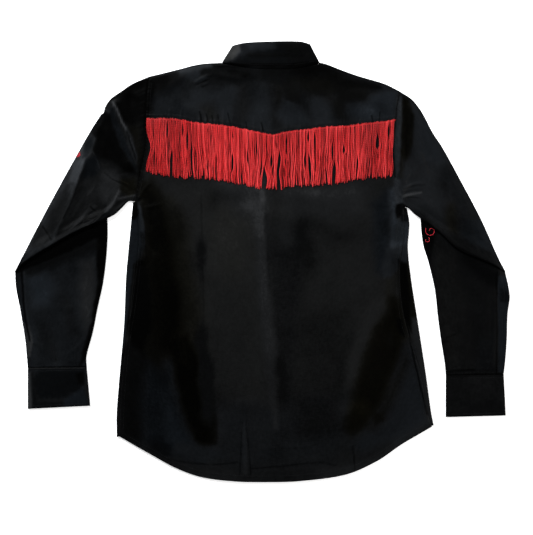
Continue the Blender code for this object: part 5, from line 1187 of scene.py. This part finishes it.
def make_sleeve(name, node, outlines, soft, creases, sign, seed):
    """One sleeve: upper and lower layer, both edges, the tuck at the elbow."""
    armhole = armhole_curve(outlines[0])
    outer, inner, elbow, fore_outer, fore_inner, wrist = (curve(table) for table in outlines[1:])
    away = unit(wrist(0.5) - elbow(0.5))
    u = marks_for(200, 1.9, (1.0, 2.4, 4.2))
    turns, depths = between_marks(u, ELBOW_TUCK, 1), between_marks(u, ELBOW_TUCK, 2)
    profiles = np.stack([tuck_profile(turn, depth) for turn, depth in zip(turns, depths)], axis=1)
    arm = patch(reverse(armhole), elbow, outer, inner)
    fore = patch(elbow, wrist, fore_outer, fore_inner)
    elbow_line = elbow(u)
    side_ease = smooth(u / 0.10) * smooth((1 - u) / 0.10)

    # the upper arm
    grid_u, grid_v = np.meshgrid(u, np.concatenate([(0.0, 0.002, 0.006, 0.012), np.linspace(0.02, 0.985, 130)]))
    upper = arm(grid_u, grid_v)
    upper = upper + away * (profiles[0, :, 0] * grid_v ** 6)[..., None]
    upper[0, :, 0] += sign * JOIN
    near = np.linalg.norm(elbow_line - upper, axis=-1)
    rise = smooth((52 - near) / 28)
    gap = steps_between(upper, 0)[0]
    relief = gentle(upper, soft) * (1 - rise) + creased(upper, creases) * (1 - 0.35 * rise)
    relief += rumple(upper, seed, 60, 0.5) + rumple(upper, seed + 1, 22, 0.14)
    height = mix(BACK_TOP, FOREARM_TOP + profiles[0, :, 1], rise) + side_ease * (
        relief * smooth(gap / 14) + (TUCK_RISE + TUCK_LIFT) * smooth((26 - near) / 26)
        + ripple(grid_u * ARM_WIDTH, seed + 2) * 0.35 * fade(gap, 9))
    height -= 0.75 * bell(gap, 1.2) - 0.30 * smooth((8 - gap) / 1.5)
    upper = raised(upper, height)

    # the fold at the elbow
    count = len(profiles)
    tuck_place = elbow_line + away * (profiles[..., 0] + 0.25 * ripple(u * ARM_WIDTH, seed + 3) * side_ease)[..., None]
    ease = np.linspace(1, 0, count)[:, None]
    tuck = raised(tuck_place, FOREARM_TOP + profiles[..., 1] + (TUCK_RISE * ease ** 2 + TUCK_LIFT) * side_ease)

    # the forearm
    grid_u2, grid_v2 = np.meshgrid(u, np.concatenate([np.linspace(0.015, 0.985, 112), (0.990, 0.995, 0.998, 1.0)]))
    lower = fore(grid_u2, grid_v2)
    lower = lower + away * (np.maximum(0.0, profiles[-1, :, 0]) * np.clip(1 - grid_v2 / 0.3, 0, 1))[..., None]
    from_tuck, gap = steps_between(lower, 0)
    calm = smooth((grid_v2 - 0.05) / 0.2) * smooth(gap / 14)
    relief = gentle(lower, soft) + creased(lower, creases)
    relief += rumple(lower, seed + 4, 60, 0.45) + rumple(lower, seed + 5, 22, 0.12)
    gathers = (0.5 + 0.5 * ripple(grid_u2 * WRIST_WIDTH, seed + 6)) * 0.8 * fade(gap, 8) * smooth(gap / 1.5)
    height = FOREARM_TOP + side_ease * (relief * calm + TUCK_LIFT * bell(from_tuck, 30) + gathers)
    height -= 0.4 * bell(gap, 1.2)
    seam_gap = np.abs(grid_u2 - (0.055 if sign < 0 else 0.05)) * 130
    height -= 0.55 * bell(seam_gap, 1.0) * smooth(grid_v2 / 0.1)
    lower = raised(lower, height)
    lower[-1, :, :2] -= away * JOIN

    # the layer on the floor, and the bends that join the two at the side edges
    top = np.concatenate([upper, tuck, lower])
    first, last = len(upper), len(upper) + count
    low_u = np.linspace(0, 1, 26)
    low = np.concatenate([
        arm(*np.meshgrid(low_u, grid_v[:, 0])),
        elbow(low_u) + tuck_place[:, :1] - elbow_line[:1],
        fore(*np.meshgrid(low_u, grid_v2[:, 0])),
    ])
    bends = []
    radius = top[:, [0, -1], 2] / 2
    ways = np.stack([top[:, 8, :2] - top[:, 0, :2], top[:, -9, :2] - top[:, -1, :2]], axis=1)
    ways[first:last] = ways[first - 1]
    ways = unit(ways)
    span = np.linalg.norm(top[:, -1, :2] - top[:, 0, :2], axis=1)[:, None]
    for column in (0, 1):
        from_end, low_end = ((1 - t if column else t)[None] * span for t in (u, low_u))
        dent = bell(top[:, -column, 1:2] - mm_y(110.5), 4.5) * (PIT_DENT if (sign, column) == (-1, 0) else 0.0)
        inwards, way = radius[:, column: column + 1] + dent, ways[:, column]
        edges = top[:, -column, :2] + way * dent
        top[..., :2] += way[:, None] * (np.clip(1 - from_end / EDGE_EASE, 0, 1) ** 2 * inwards)[..., None]
        low[:, -column] = edges - way * dent
        low += way[:, None] * (np.clip(1 - low_end / EDGE_EASE, 0, 1) ** 2 * inwards)[..., None]
        bends.append(edge_bend(edges, way, radius[:, column]))
    under = np.clip(rumple(low, seed + 7, 80, 0.9), 0, 2) * smooth(np.minimum(low_u, 1 - low_u) * span / 30)
    under[first - 6:last + 6] *= 0.3
    low = raised(low, FLOOR_GAP + under)
    around = tube(top, low, bends)
    mouth = turned_in(around[-1], 0.97, FOREARM_TOP, away * 3.0)
    allowance = turned_in(around[0], 0.988, BACK_TOP, (-sign * 4.0, 0.0))[::-1]
    return sewn(name, node, POPLIN, [around, mouth, allowance], 75)


CUFF_WIDTH, CUFF_DEPTH = 112.0, 77.0


def make_cuff(name, node, wrist, hem, seed):
    """One cuff: two layers and the round edges between them."""
    wrist, hem = curve(wrist), curve(hem)
    away = unit(hem(0.5) - wrist(0.5))
    u, v = np.meshgrid(marks_for(CUFF_WIDTH, 2.4), marks_for(CUFF_DEPTH, 2.4))
    place = mix(wrist(u), hem(u), v[..., None]) + away * (JOIN * (1 - v))[..., None]
    edge = np.minimum(v, 1 - v) * CUFF_DEPTH
    border = np.minimum(edge, np.minimum(u, 1 - u) * CUFF_WIDTH)
    height = CUFF_TOP + rumple(place, seed, 46, 0.22) * smooth(border / 12) + 0.35 * smooth(border / 5)
    height += 0.12 * ripple(u * CUFF_WIDTH, seed + 1) * fade(edge, 6) - 0.30 * bell(edge - 5.5, 0.9)
    height -= 0.9 * bell(edge, 1.0)
    top = raised(place, height)
    low = raised(place.copy(), np.full(u.shape, FLOOR_GAP))
    bends = []
    for column, inner in ((0, 12), (-1, -13)):
        way = unit(top[:, inner, :2] - top[:, column, :2])
        rad = top[:, column, 2] / 2
        edges = top[:, column, :2].copy()
        slide = np.clip(1 - (1 - u if column else u) * CUFF_WIDTH / 26, 0, 1) ** 2 * rad[:, None]
        for layer in (top, low):
            layer[..., :2] += way[:, None] * slide[..., None]
        bends.append(edge_bend(edges, way, rad))
    around = tube(top, low, bends)
    middle = around.mean(axis=1, keepdims=True)
    lips = []
    for row, way in ((-1, -1.0), (0, 1.0)):
        rim = around[row]
        pulled = mix(middle[row], rim, 0.985)
        pulled[:, 2] = np.clip(rim[:, 2], 1.0, CUFF_TOP - 1.0)
        inside = pulled.copy()
        inside[:, :2] += away * way * 9.0
        lips.append(np.stack([rim, pulled, inside]))
    return sewn(name, node, TRIM, [around, *lips], 50)


# ---------------------------------------------------------------- collar
LEAF_WIDTH, LEAF_DEPTH = 176, 46


def leaf_at(u, share):
    """The leaf on the back: across it, and from its edge to its fold."""
    return mix(curve(LEAF_EDGE)(u), curve(LEAF_FOLD)(u), share)


def leaf_front(u, share):
    """A place on the leaf where it turns to the front."""
    return mix(curve(LEAF_FRONT_EDGE)(u), curve(LEAF_FRONT_FOLD)(u), share)


def flipped(place):
    """The same places on the other side of the collar's middle."""
    return np.stack([2 * (CENTRE_X + 1) - place[..., 0], place[..., 1]], axis=-1)


def make_collar():
    """The turned-down leaf, over the neck's back and round to both fronts."""
    rows = marks_for(LEAF_DEPTH, 2.2)
    radius = LEAF_TOP / 2
    u, v = np.meshgrid(np.linspace(0, 1, 78), rows)
    place = leaf_at(u, v[..., None])
    ends = place[:, 0].copy(), place[:, -1].copy()
    place[..., 0] += radius * (np.clip(1 - u / 0.16, 0, 1) ** 2 - np.clip(1 - (1 - u) / 0.16, 0, 1) ** 2)
    near_edge, near_fold = v * LEAF_DEPTH, (1 - v) * LEAF_DEPTH
    border = np.minimum(near_edge, np.minimum(u, 1 - u) * LEAF_WIDTH)
    height = LEAF_TOP + 0.25 * smooth(border / 4) + rumple(place, 71, 50, 0.25) * smooth(border / 8)
    height -= 0.28 * bell(near_edge - 6.0, 0.9)
    height -= 0.35 * bell(near_fold - 17 - 3 * u, 4.0) * smooth(np.minimum(u, 1 - u) / 0.1)
    height -= 1.6 * np.clip(1 - near_fold / 5.0, 0, 1) ** 2
    height -= 0.5 * bell(near_edge, 0.9) + 0.10 * ripple(u * 170, 72) * fade(near_edge, 5)
    back = raised(place, height)
    inward = unit(place[1] - place[0])
    edge, fold = turned_under(back[0], inward, 7.0, 1.1), turned_under(back[-1], -inward, 6.0, 1.4)
    grids = [back, edge[:-1][::-1], np.stack([back[0], edge[-1]]), fold[::-1], np.stack([back[-1], fold[-1]])]
    for column, sign in ((0, 1.0), (-1, -1.0)):
        u2, v2 = np.meshgrid(np.linspace(0, 1, 40), rows)
        shape = leaf_front(u2, v2[..., None])
        if column:
            shape = flipped(shape)
        target = ends[column] + np.array((sign * radius, 0.0))
        shape = shape + (target[:, None] - shape[:, :1]) * ((1 - u2) ** 3)[..., None]
        low = raised(shape, FLOOR_GAP + 0.12 * rumple(shape, 73, 30, 1.0) ** 2)
        way = np.tile((sign, 0.0), (len(rows), 1))
        bend = half_round(ends[column], way, low[:, 0, 2], back[:, column, 2], 9).transpose(1, 0, 2)
        bend[:, 0], bend[:, -1] = low[:, 0], back[:, column]
        grids += [low, bend]
    return sewn("collar_leaf", "collar", TRIM, grids, 70)


def pinned(place, ends, t, power):
    """A row of places whose ends are drawn to two given spots."""
    return (place + (ends[0] - place[0]) * ((1 - t) ** power)[:, None]
            + (ends[1] - place[-1]) * (t ** power)[:, None])


def make_stand():
    """The band inside the leaf."""
    back_low, back_high, front_high = curve(BACK_NECK), curve(STAND_FOLD), curve(STAND_FRONT_FOLD)
    left_neck, right_neck = curve(LEFT_NECK), curve(RIGHT_NECK)
    half = 0.5 * (1 + (LEFT_NECK[-1][0] - CENTRE_X) / 90)
    middle_height, radius = (BACK_TOP + NECK_LIFT) / 2, (BACK_TOP - NECK_LIFT) / 2
    angles = np.pi * np.arange(1, 6) / 6 - np.pi / 2
    u, t = np.linspace(0, 1, 40), np.linspace(0, 1, 50)
    low = np.where((t <= half)[:, None], left_neck(t / half), right_neck((1 - t) / (1 - half)))
    grid = []
    for v in np.linspace(0, 1, 12):
        flats = [leaf_at(end, 0.12 + 0.80 * v) + np.array((inward * (LEAF_TOP / 2 + 0.4), 0.0))
                 for end, inward in ((0.0, 1), (1.0, -1))]
        place = mix(back_low(u), back_high(u), v) + np.array((0, SEAM * (1 - v)))
        back = raised(pinned(place, flats, u, 4), BACK_TOP)
        front = raised(pinned(mix(low, front_high(t), v), flats, t, 6), NECK_LIFT + 0.1)
        turns = [np.array((*flat, middle_height))
                 + np.stack([out * np.cos(angles), np.zeros(5), np.sin(angles)], axis=1) * radius
                 for flat, out in ((flats[1], 1.0), (flats[0], -1.0))]
        grid.append(np.concatenate([back, turns[0][::-1], front[::-1], turns[1], back[:1]]))
    return sewn("collar_band", "collar_stand", TRIM, [np.stack(grid)])


# ---------------------------------------------------------------- fringe
# Slits between the fringe's locks: x, first y, last y (190 and more: open at the foot), width, in the view grid.
SLITS = [
    (167.5, 121, 140, 0.9), (171.6, 147, 190, 1.6), (176.6, 118, 128, 0.7), (184, 122, 137, 1),
    (188, 130, 152, 0.8),
    (192.5, 142, 190, 1.2), (195.6, 146, 174, 1.2), (202.3, 165, 192, 1.3), (207.5, 158, 192, 1.2),
    (216, 152, 192, 1.1), (195.5, 124, 130, 0.5), (208.5, 126, 135, 0.7), (225.3, 133, 140, 0.7),
    (233.3, 131, 140, 1),
    (232.6, 150, 174, 1.2), (239, 129, 137, 0.7), (241.3, 170, 194, 1), (222.5, 136, 142, 0.5),
    (248, 150, 166, 0.5),
    (257, 140, 158, 0.5), (263.9, 163, 196, 3), (266.5, 141, 149, 0.8), (268, 150, 158, 0.8),
    (271.4, 153, 169, 1.4),
    (273.4, 162, 178, 1.2), (276.6, 139, 151, 0.9), (279.4, 149, 196, 1.5), (283.3, 163, 180, 1.2),
    (285.6, 156, 166, 0.8),
    (286.7, 134, 156, 1.2), (294, 168, 180, 0.6), (298, 134, 150, 0.6), (303.4, 169, 196, 1.7),
    (305.4, 154, 169, 1),
    (308.2, 130, 143, 1.2), (308.8, 151, 190, 1.6), (314.2, 130, 174, 1.1), (320, 150, 164, 0.5),
    (327.4, 151, 165, 1.2),
    (326.4, 167, 194, 1), (332.2, 139, 160, 1.3), (334.4, 158, 194, 2.4), (343.7, 142, 155, 1.6),
    (346, 166, 190, 0.7),
    (353.6, 124, 133, 0.8), (356.6, 155, 190, 1.2), (363, 128, 140, 0.6), (369.4, 156, 170, 1),
    (371, 170, 190, 1.7),
    (376.5, 130, 151, 1.9), (378, 152, 161, 1), (387.6, 122, 139, 1.2), (385.4, 141, 151, 1),
    (382, 160, 190, 0.6),
]
FRINGE_LEAN = [(-219, 0), (-190, 2.5), (-140, 4.5), (-80, 2.5), (0, 0.5), (100, -0.5), (180, -2.5), (253, -3.5)]
CORD_RADIUS = 0.52
CORD_PITCH = 1.78
CORD_STEPS = 18
CORD_SIDES = 6
TAPE_DYE = 0.35


def fringe_end(x):
    """Where the fringe's cords end, along y."""
    return np.interp(x, *zip(*FRINGE_ENDS)) - 2.6


def parted(x, y):
    """Shift across that opens the slits and draws the first lock together."""
    shift = np.zeros_like(y)
    for slit_x, start, end, width in SLITS:
        middle = mm_x(slit_x)
        top, foot = mm_y(start), mm_y(end)
        mask = smooth((top - y) / (5 + 9 * width)) * (1.0 if end >= 186 else smooth((y - foot) / 8))
        aside = x - middle
        shift += np.sign(aside) * width * UNIT * 0.85 * mask * np.exp(-np.abs(aside) / (4 + 2 * width))
    lock = smooth((mm_x(170) - x) / 12) * bell(y - mm_y(147), 22)
    shift += lock * (mm_x(158) - x) * 0.34
    shift -= 2.0 * smooth((x - mm_x(380)) / 16) * smooth((mm_y(122) - y) / 90)
    return shift


# How many of the second layer's cords each stretch of the fringe has: x, share.
FRINGE_FILL = [(147, 0.9), (163, 1), (168, 0.4), (200, 0.5), (215, 0.8), (245, 0.8), (256, 0.42), (300, 0.45),
               (330, 0.6), (345, 0.45)]
# How much paler each stretch of the fringe is: x, change.
FRINGE_DYE = [(147, -0.42), (160, -0.38), (168, -0.3), (176, -0.2), (184, 0.05), (200, 0.12), (212, 0.02),
              (224, 0.12),
              (240, 0.26), (252, 0.1), (264, 0.15), (276, 0.05), (290, 0.05), (302, -0.05), (315, 0.2), (325, 0.05),
              (342, 0.12), (356, 0.2), (366, -0.3), (375, -0.15), (384, 0.15), (393, 0.1)]


def cord_mesh(seed):
    """All the cords of the fringe: the seam's whole width in two layers that lie into each other."""
    draw = np.random.default_rng(seed)
    seam = curve(YOKE_SEAM)(np.linspace(0, 1, 900))
    points, faces, dyes_and_shading, wraps = [], [], [], []
    turn = np.arange(CORD_SIDES) * math.tau / CORD_SIDES
    ring = np.stack([np.cos(turn), np.zeros(CORD_SIDES), np.sin(turn)], axis=-1)
    share = np.append(np.linspace(0, 0.992, CORD_STEPS - 1), 1.0)
    around = np.tile(np.arange(CORD_SIDES) / CORD_SIDES, CORD_STEPS)
    k = np.arange(CORD_SIDES)
    for layer, spare in ((0, 0.0), (1, 0.5)):
        for x_root in np.arange(-217.6 + spare * CORD_PITCH, 253.4, CORD_PITCH):
            x_root = x_root + draw.uniform(-0.45, 0.45)
            kept = np.interp(x_root / UNIT + VIEW_X, *zip(*FRINGE_FILL)) if layer else 1.0
            if draw.uniform() > kept:
                continue
            y_root = np.interp(x_root, seam[:, 0], seam[:, 1]) - 0.4
            tip = fringe_end(x_root) + draw.uniform(-3.4, 2.8) + 1.6 * math.sin(x_root * 0.31)
            y = mix(y_root, tip, share)
            loose = draw.uniform(1.0, 3.4) * draw.choice((-1, 1)) if draw.uniform() < 0.24 + 0.12 * layer else 0.0
            together = 1.3 * np.sin(share * 3.1 + x_root / 15) + 0.9 * np.sin(share * 5.3 + x_root / 6.5 + 2)
            wave = draw.uniform(0.35, 1.3) * np.sin(share * draw.uniform(4, 15) + draw.uniform(0, 6.3))
            lean = np.interp(x_root, *zip(*FRINGE_LEAN))
            x = x_root + (loose * share ** 1.4 + together * share ** 0.8 + wave * share ** 0.5) + lean * share
            x = x + parted(np.full_like(y, x_root + lean * 0.6), y)
            ground = back_surface(np.stack([x, y], axis=-1)) - 0.5 * smooth((y - y_root + 6) / 6)
            radius = CORD_RADIUS * draw.uniform(0.86, 1.1)
            lift = 0.35 + radius + layer * (0.62 + 0.25 * np.sin(share * 5 + x_root)) * smooth(share * 9)
            lift = lift + draw.uniform(0, 0.5) * np.sin(share * math.pi)
            line = np.stack([x, y, ground + lift], axis=-1)
            thin = np.append(np.ones(CORD_STEPS - 1), 0.8)
            first = len(points) * CORD_STEPS * CORD_SIDES
            points.append((line[:, None] + ring[None] * (radius * thin)[:, None, None]).reshape(-1, 3))
            base = first + np.arange(CORD_STEPS)[:, None] * CORD_SIDES
            near, far = base + k, base + (k + 1) % CORD_SIDES
            faces.append(np.stack([near[:-1], far[:-1], far[1:], near[1:]], axis=-1).reshape(-1, 4))
            faces.append(base[-1] + np.array([[0, 1, 2, 3], [0, 3, 4, 5]]))
            # Dye of each cord; about a quarter are made pale pink, partly as a painted highlight.
            dye_and_shading = 0.48 + 0.16 * layer + draw.uniform(-0.42, 0.30) + 0.45 * (draw.uniform() < 0.26)
            dye_and_shading += np.interp(x_root / UNIT + VIEW_X, *zip(*FRINGE_DYE))
            # Darker towards the root, as painted shade where the cords crowd under the tape.
            dyes_and_shading.append(np.repeat(dye_and_shading - 0.22 * (1 - smooth(share * 1.6)), CORD_SIDES))
            wraps.append(np.stack([around, np.repeat(share * (y_root - tip) / 2.4, CORD_SIDES)], axis=-1))
    return points, faces, dyes_and_shading, wraps


def make_fringe():
    """The tape in the yoke seam and the cords that hang from it."""
    points, faces, dyes_and_shading, wraps = cord_mesh(8)
    seam = curve(YOKE_SEAM)(np.linspace(0.002, 0.998, 320))
    rows = []
    for drop, lift in ((-0.5, 0.25), (-0.5, 0.95), (-2.6, 1.05), (-4.6, 0.75), (-4.9, 0.25)):
        place = seam + np.array((0.0, drop))
        rows.append(raised(place, back_surface(place) - 0.4 + lift))
    tape = np.concatenate(rows)
    faces.append(grid_faces(sum(len(cord) for cord in points), len(rows), len(seam)))
    points.append(tape)
    dyes_and_shading.append(np.full(len(tape), TAPE_DYE))
    wraps.append(tape[:, :2] / 3.0)
    faces = np.concatenate(faces)
    thing = dressed(mesh_object("cord_fringe", np.concatenate(points), faces), CORD)
    layer = thing.data.uv_layers.new(name="cloth")
    layer.data.foreach_set("uv", np.concatenate(wraps)[faces.reshape(-1)].reshape(-1))
    mark(thing.data, "dye_and_shading", np.concatenate(dyes_and_shading))
    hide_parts("fringe")
    return thing


# ---------------------------------------------------------------- stitching
def roof_of(things):
    """The things' faces, to find the cloth's height from."""
    points, faces = [], []
    for thing in things:
        offset = sum(len(p) for p in points)
        points.append(corners_of(thing.data))
        faces += [tuple(i + offset for i in polygon.vertices) for polygon in thing.data.polygons]
    return BVHTree.FromPolygons(np.concatenate(points).tolist(), faces)


def laid_on(roof, place, under):
    """Heights of the cloth at each place, from above or from below."""
    start, way, missed = (-20.0, 1, 0.0) if under else (40.0, -1, BACK_TOP)
    hits = [roof.ray_cast(Vector((x, y, start)), Vector((0, 0, way)))[0] for x, y in place]
    return np.array([hit.z if hit else missed for hit in hits])


def stitched(name, things, finish, runs, under=False, radius=0.17, length=2.3, gap=0.9):
    """Short threads, each a low arch over the things' cloth, joined into one mesh. A run is a path and its seed, and
    may say that it lies under the cloth."""
    roof = roof_of(things)
    points, faces = [], []
    for path, seed, *side in runs:
        below = side[0] if side else under
        samples = path(np.linspace(0, 1, 400)) if callable(path) else path
        marks = np.cumsum([0, *np.linalg.norm(np.diff(samples, axis=0), axis=1)])
        draw = np.random.default_rng(seed)
        for start in np.arange(gap, marks[-1] - length - gap, length + gap):
            at = start + np.array((0.0, 0.15, 0.5, 0.85, 1.0)) * length * draw.uniform(0.9, 1.05)
            place = np.stack([np.interp(at, marks, samples[:, k]) for k in (0, 1)], axis=-1)
            if np.linalg.norm(place[-1] - place[0]) < 0.5:
                continue
            way = unit(place[-1] - place[0])
            across = np.array((-way[1], way[0]))
            place = place + across * draw.uniform(-0.12, 0.12)
            arch = np.array((-0.15, 0.10, 0.16, 0.10, -0.15)) * (-1 if below else 1)
            height = laid_on(roof, place, below) + arch
            base = len(points)
            for k in range(5):
                for turn in np.radians((0, 90, 180, 270)):
                    points.append((*(place[k] + across * math.cos(turn) * radius), height[k] + math.sin(turn) * radius))
            for a in range(base, base + 16):
                b = a - 3 if (a - base) % 4 == 3 else a + 1
                faces.append((a, b, b + 4, a + 4))
    return dressed(mesh_object(name, np.array(points), np.array(faces)), finish)


def beside(table, distance, start=0.03, share=0.94):
    """A line of stitches beside an edge, without its ends."""
    path = inset(curve(table), distance)
    return lambda t: path(start + share * t)


def make_stitching(body, cuffs, collar, band, fronts):
    """All rows of stitches, one piece to each cloth they sew."""
    seam = curve(YOKE_SEAM)
    runs = [(lambda t: seam(t) + np.array((0.0, 0.8)), 1), (beside(HEM, 11.5, 0.01, 0.98), 3)]
    for offset, seed in ((2.0, 4), (8.0, 5)):
        runs += [(beside(LEFT_SEAM, -offset), seed), (beside(RIGHT_SEAM, offset), seed + 10)]
    runs += [(beside(LEFT_ARMHOLE, -7.0), 6), (beside(RIGHT_ARMHOLE, 7.0), 7)]
    stitched("seam_stitching", body, THREAD, runs)

    runs = []
    low = 5.5 / CUFF_DEPTH
    for wrist, hem in ((curve(LEFT_WRIST), curve(LEFT_CUFF)), (curve(RIGHT_WRIST), curve(RIGHT_CUFF))):
        for start, seed, under in ((0.05, 8, False), (0.06, 10, True)):
            u = start + (1 - 2 * start) * np.linspace(0, 1, 40)
            runs += [(mix(wrist(u), hem(u), v), seed + n, under) for n, v in enumerate((low, 1 - low))]
    stitched("cuff_stitching", cuffs, THREAD, runs)

    runs = [(leaf_at(0.03 + 0.94 * np.linspace(0, 1, 60), 6.0 / LEAF_DEPTH), 12, False)]
    line = leaf_front(np.linspace(0.1, 0.97, 40), 0.13)
    point = leaf_front(0.965, np.linspace(0.13, 0.9, 20)[:, None])
    runs += [(path, 13) for path in (line, point, flipped(line), flipped(point))]
    stitched("collar_stitching", [collar], THREAD, runs, under=True)

    reach = PLACKET_HALF - 5.5
    runs = [(np.array([(x, y) for y in np.linspace(-405, 286, 200)]), 14) for x in (CENTRE_X - reach, CENTRE_X + reach)]
    stitched("band_stitching", [band], THREAD, runs, under=True)

    samples = beside(HEM, 12.0)(np.linspace(0, 1, 400))
    aside = samples[:, 0] - CENTRE_X
    runs = [(samples[aside < -PLACKET_HALF - 2], 15), (samples[aside > PLACKET_HALF + 2], 16)]
    stitched("front_stitching", fronts, THREAD, runs, under=True)


# ---------------------------------------------------------------- embroidery: plain scrolls and a leaf
def spiral(x, y, size, turns, start, swing):
    """A line that winds in round a place of the view grid."""
    angle = np.linspace(0, turns * math.tau, 60)
    reach = size * (1 - 0.8 * angle / angle[-1])
    spin = math.radians(start) + swing * angle
    return np.stack([mm_x(x) + reach * np.cos(spin), mm_y(y) + reach * np.sin(spin)], axis=-1)


def make_embroidery(sleeves):
    """Thread laid on both sleeves."""
    runs = [(spiral(430.5, 231, 10.5, 1.2, 150, 1), 17), (spiral(426.5, 240, 6.0, 0.9, 60, -1), 17)]
    leaf = np.array([(mm_x(80.2), mm_y(152.2)), (mm_x(77.9), mm_y(155.4)), (mm_x(75.9), mm_y(158.6))])
    for shift in (0.0, 1.0, 2.0, 3.0):
        runs.append((mix(leaf, leaf.mean(axis=0), shift / 6) + np.array((shift, -0.6 * shift)), 18))
    stitched("scroll_embroidery", sleeves, FLOSS, runs, radius=0.42, length=2.2, gap=0.25)


# ---------------------------------------------------------------- light, floor and camera
def area_light(name, place, size, power, colour):
    """A lamp that faces the middle of the shirt."""
    lamp = bpy.data.lights.new(name, "AREA")
    lamp.shape = "RECTANGLE"
    lamp.size, lamp.size_y = size
    lamp.energy = power
    lamp.color = colour
    thing = bpy.data.objects.new(name, lamp)
    thing.location = place
    thing.rotation_mode = "QUATERNION"
    thing.rotation_quaternion = (-Vector(place)).to_track_quat("-Z", "Y")
    bpy.context.scene.collection.objects.link(thing)


def make_stage():
    """Floor, lights and the camera straight above."""
    corners = [(-4000, -4000, -0.3), (4000, -4000, -0.3), (4000, 4000, -0.3), (-4000, 4000, -0.3)]
    floor = mesh_object("floor", np.array(corners), np.array([[0, 1, 2, 3]]))
    floor.data.materials.append(floor_material("pale_floor"))
    world = bpy.data.worlds.new("studio")
    bpy.context.scene.world = world
    world.use_nodes = True
    nodes, links = world.node_tree.nodes, world.node_tree.links
    away, height, ramp = (nodes.new("ShaderNode" + kind) for kind in ("TexCoord", "SeparateXYZ", "MapRange"))
    ramp.inputs["From Max"].default_value = 0.55
    ramp.inputs["To Min"].default_value = 0.85
    ramp.inputs["To Max"].default_value = 0.12
    links.new(away.outputs["Generated"], height.inputs[0])
    links.new(height.outputs["Z"], ramp.inputs["Value"])
    links.new(ramp.outputs[0], nodes["Background"].inputs["Strength"])
    nodes["Background"].inputs["Color"].default_value = (0.96, 0.97, 1.0, 1)
    area_light("window", (-1.45, 2.45, 1.9), (1.2, 0.9), 235, (0.95, 0.98, 1.0))
    area_light("fill", (2.3, 0.2, 1.5), (1.6, 1.6), 45, (1.0, 0.97, 0.94))
    bpy.context.scene.view_settings.view_transform = "Standard"
    camera = bpy.data.cameras.new("camera")
    camera.sensor_width = 36.0
    camera.lens = 36.0 * 1.796 / 1.0154
    view = bpy.data.objects.new("camera", camera)
    view.location = (0.0095, -0.01045, 1.8)
    bpy.context.scene.collection.objects.link(view)
    bpy.context.scene.camera = view


def main():
    make_stage()
    back = make_back()
    yoke = make_yoke()
    front_left = make_front("front_panel_left", "front_left", LEFT_SIDE, LEFT_SEAM, LEFT_ARMHOLE, LEFT_SHOULDER,
                            LEFT_NECK, CENTRE_X - PLACKET_HALF - SEAM, 1, lambda place: np.zeros(place.shape[:-1]))
    front_right = make_front("front_panel_right", "front_right", RIGHT_SIDE, RIGHT_SEAM, RIGHT_ARMHOLE,
                             RIGHT_SHOULDER, RIGHT_NECK, CENTRE_X - PLACKET_HALF + 2, -1, front_lap)
    band = make_placket()
    left_outlines = (LEFT_ARMHOLE, LEFT_SLEEVE_OUTER, LEFT_SLEEVE_INNER, LEFT_ELBOW, LEFT_FOREARM_OUTER,
                     LEFT_FOREARM_INNER, LEFT_WRIST)
    left = make_sleeve("sleeve_cloth_left", "sleeve_left", left_outlines, LEFT_SLEEVE_FOLDS, LEFT_SLEEVE_CREASES,
                       -1, 100)
    right_outlines = (RIGHT_ARMHOLE, RIGHT_SLEEVE_OUTER, RIGHT_SLEEVE_INNER, RIGHT_ELBOW, RIGHT_FOREARM_OUTER,
                      RIGHT_FOREARM_INNER, RIGHT_WRIST)
    right = make_sleeve("sleeve_cloth_right", "sleeve_right", right_outlines, RIGHT_SLEEVE_FOLDS,
                        RIGHT_SLEEVE_CREASES, 1, 200)
    cuff_left = make_cuff("cuff_cloth_left", "cuff_left", LEFT_WRIST, LEFT_CUFF, 300)
    cuff_right = make_cuff("cuff_cloth_right", "cuff_right", RIGHT_WRIST, RIGHT_CUFF, 320)
    collar = make_collar()
    stand = make_stand()
    fringe = make_fringe()
    make_stitching([back, yoke, front_left, front_right], [cuff_left, cuff_right], collar, band,
                   [front_left, front_right])
    make_embroidery([left, right])
    for name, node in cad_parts.items():
        if "snap" in name:
            node.data.materials.clear()
            node.data.materials.append(PEARL)


main()
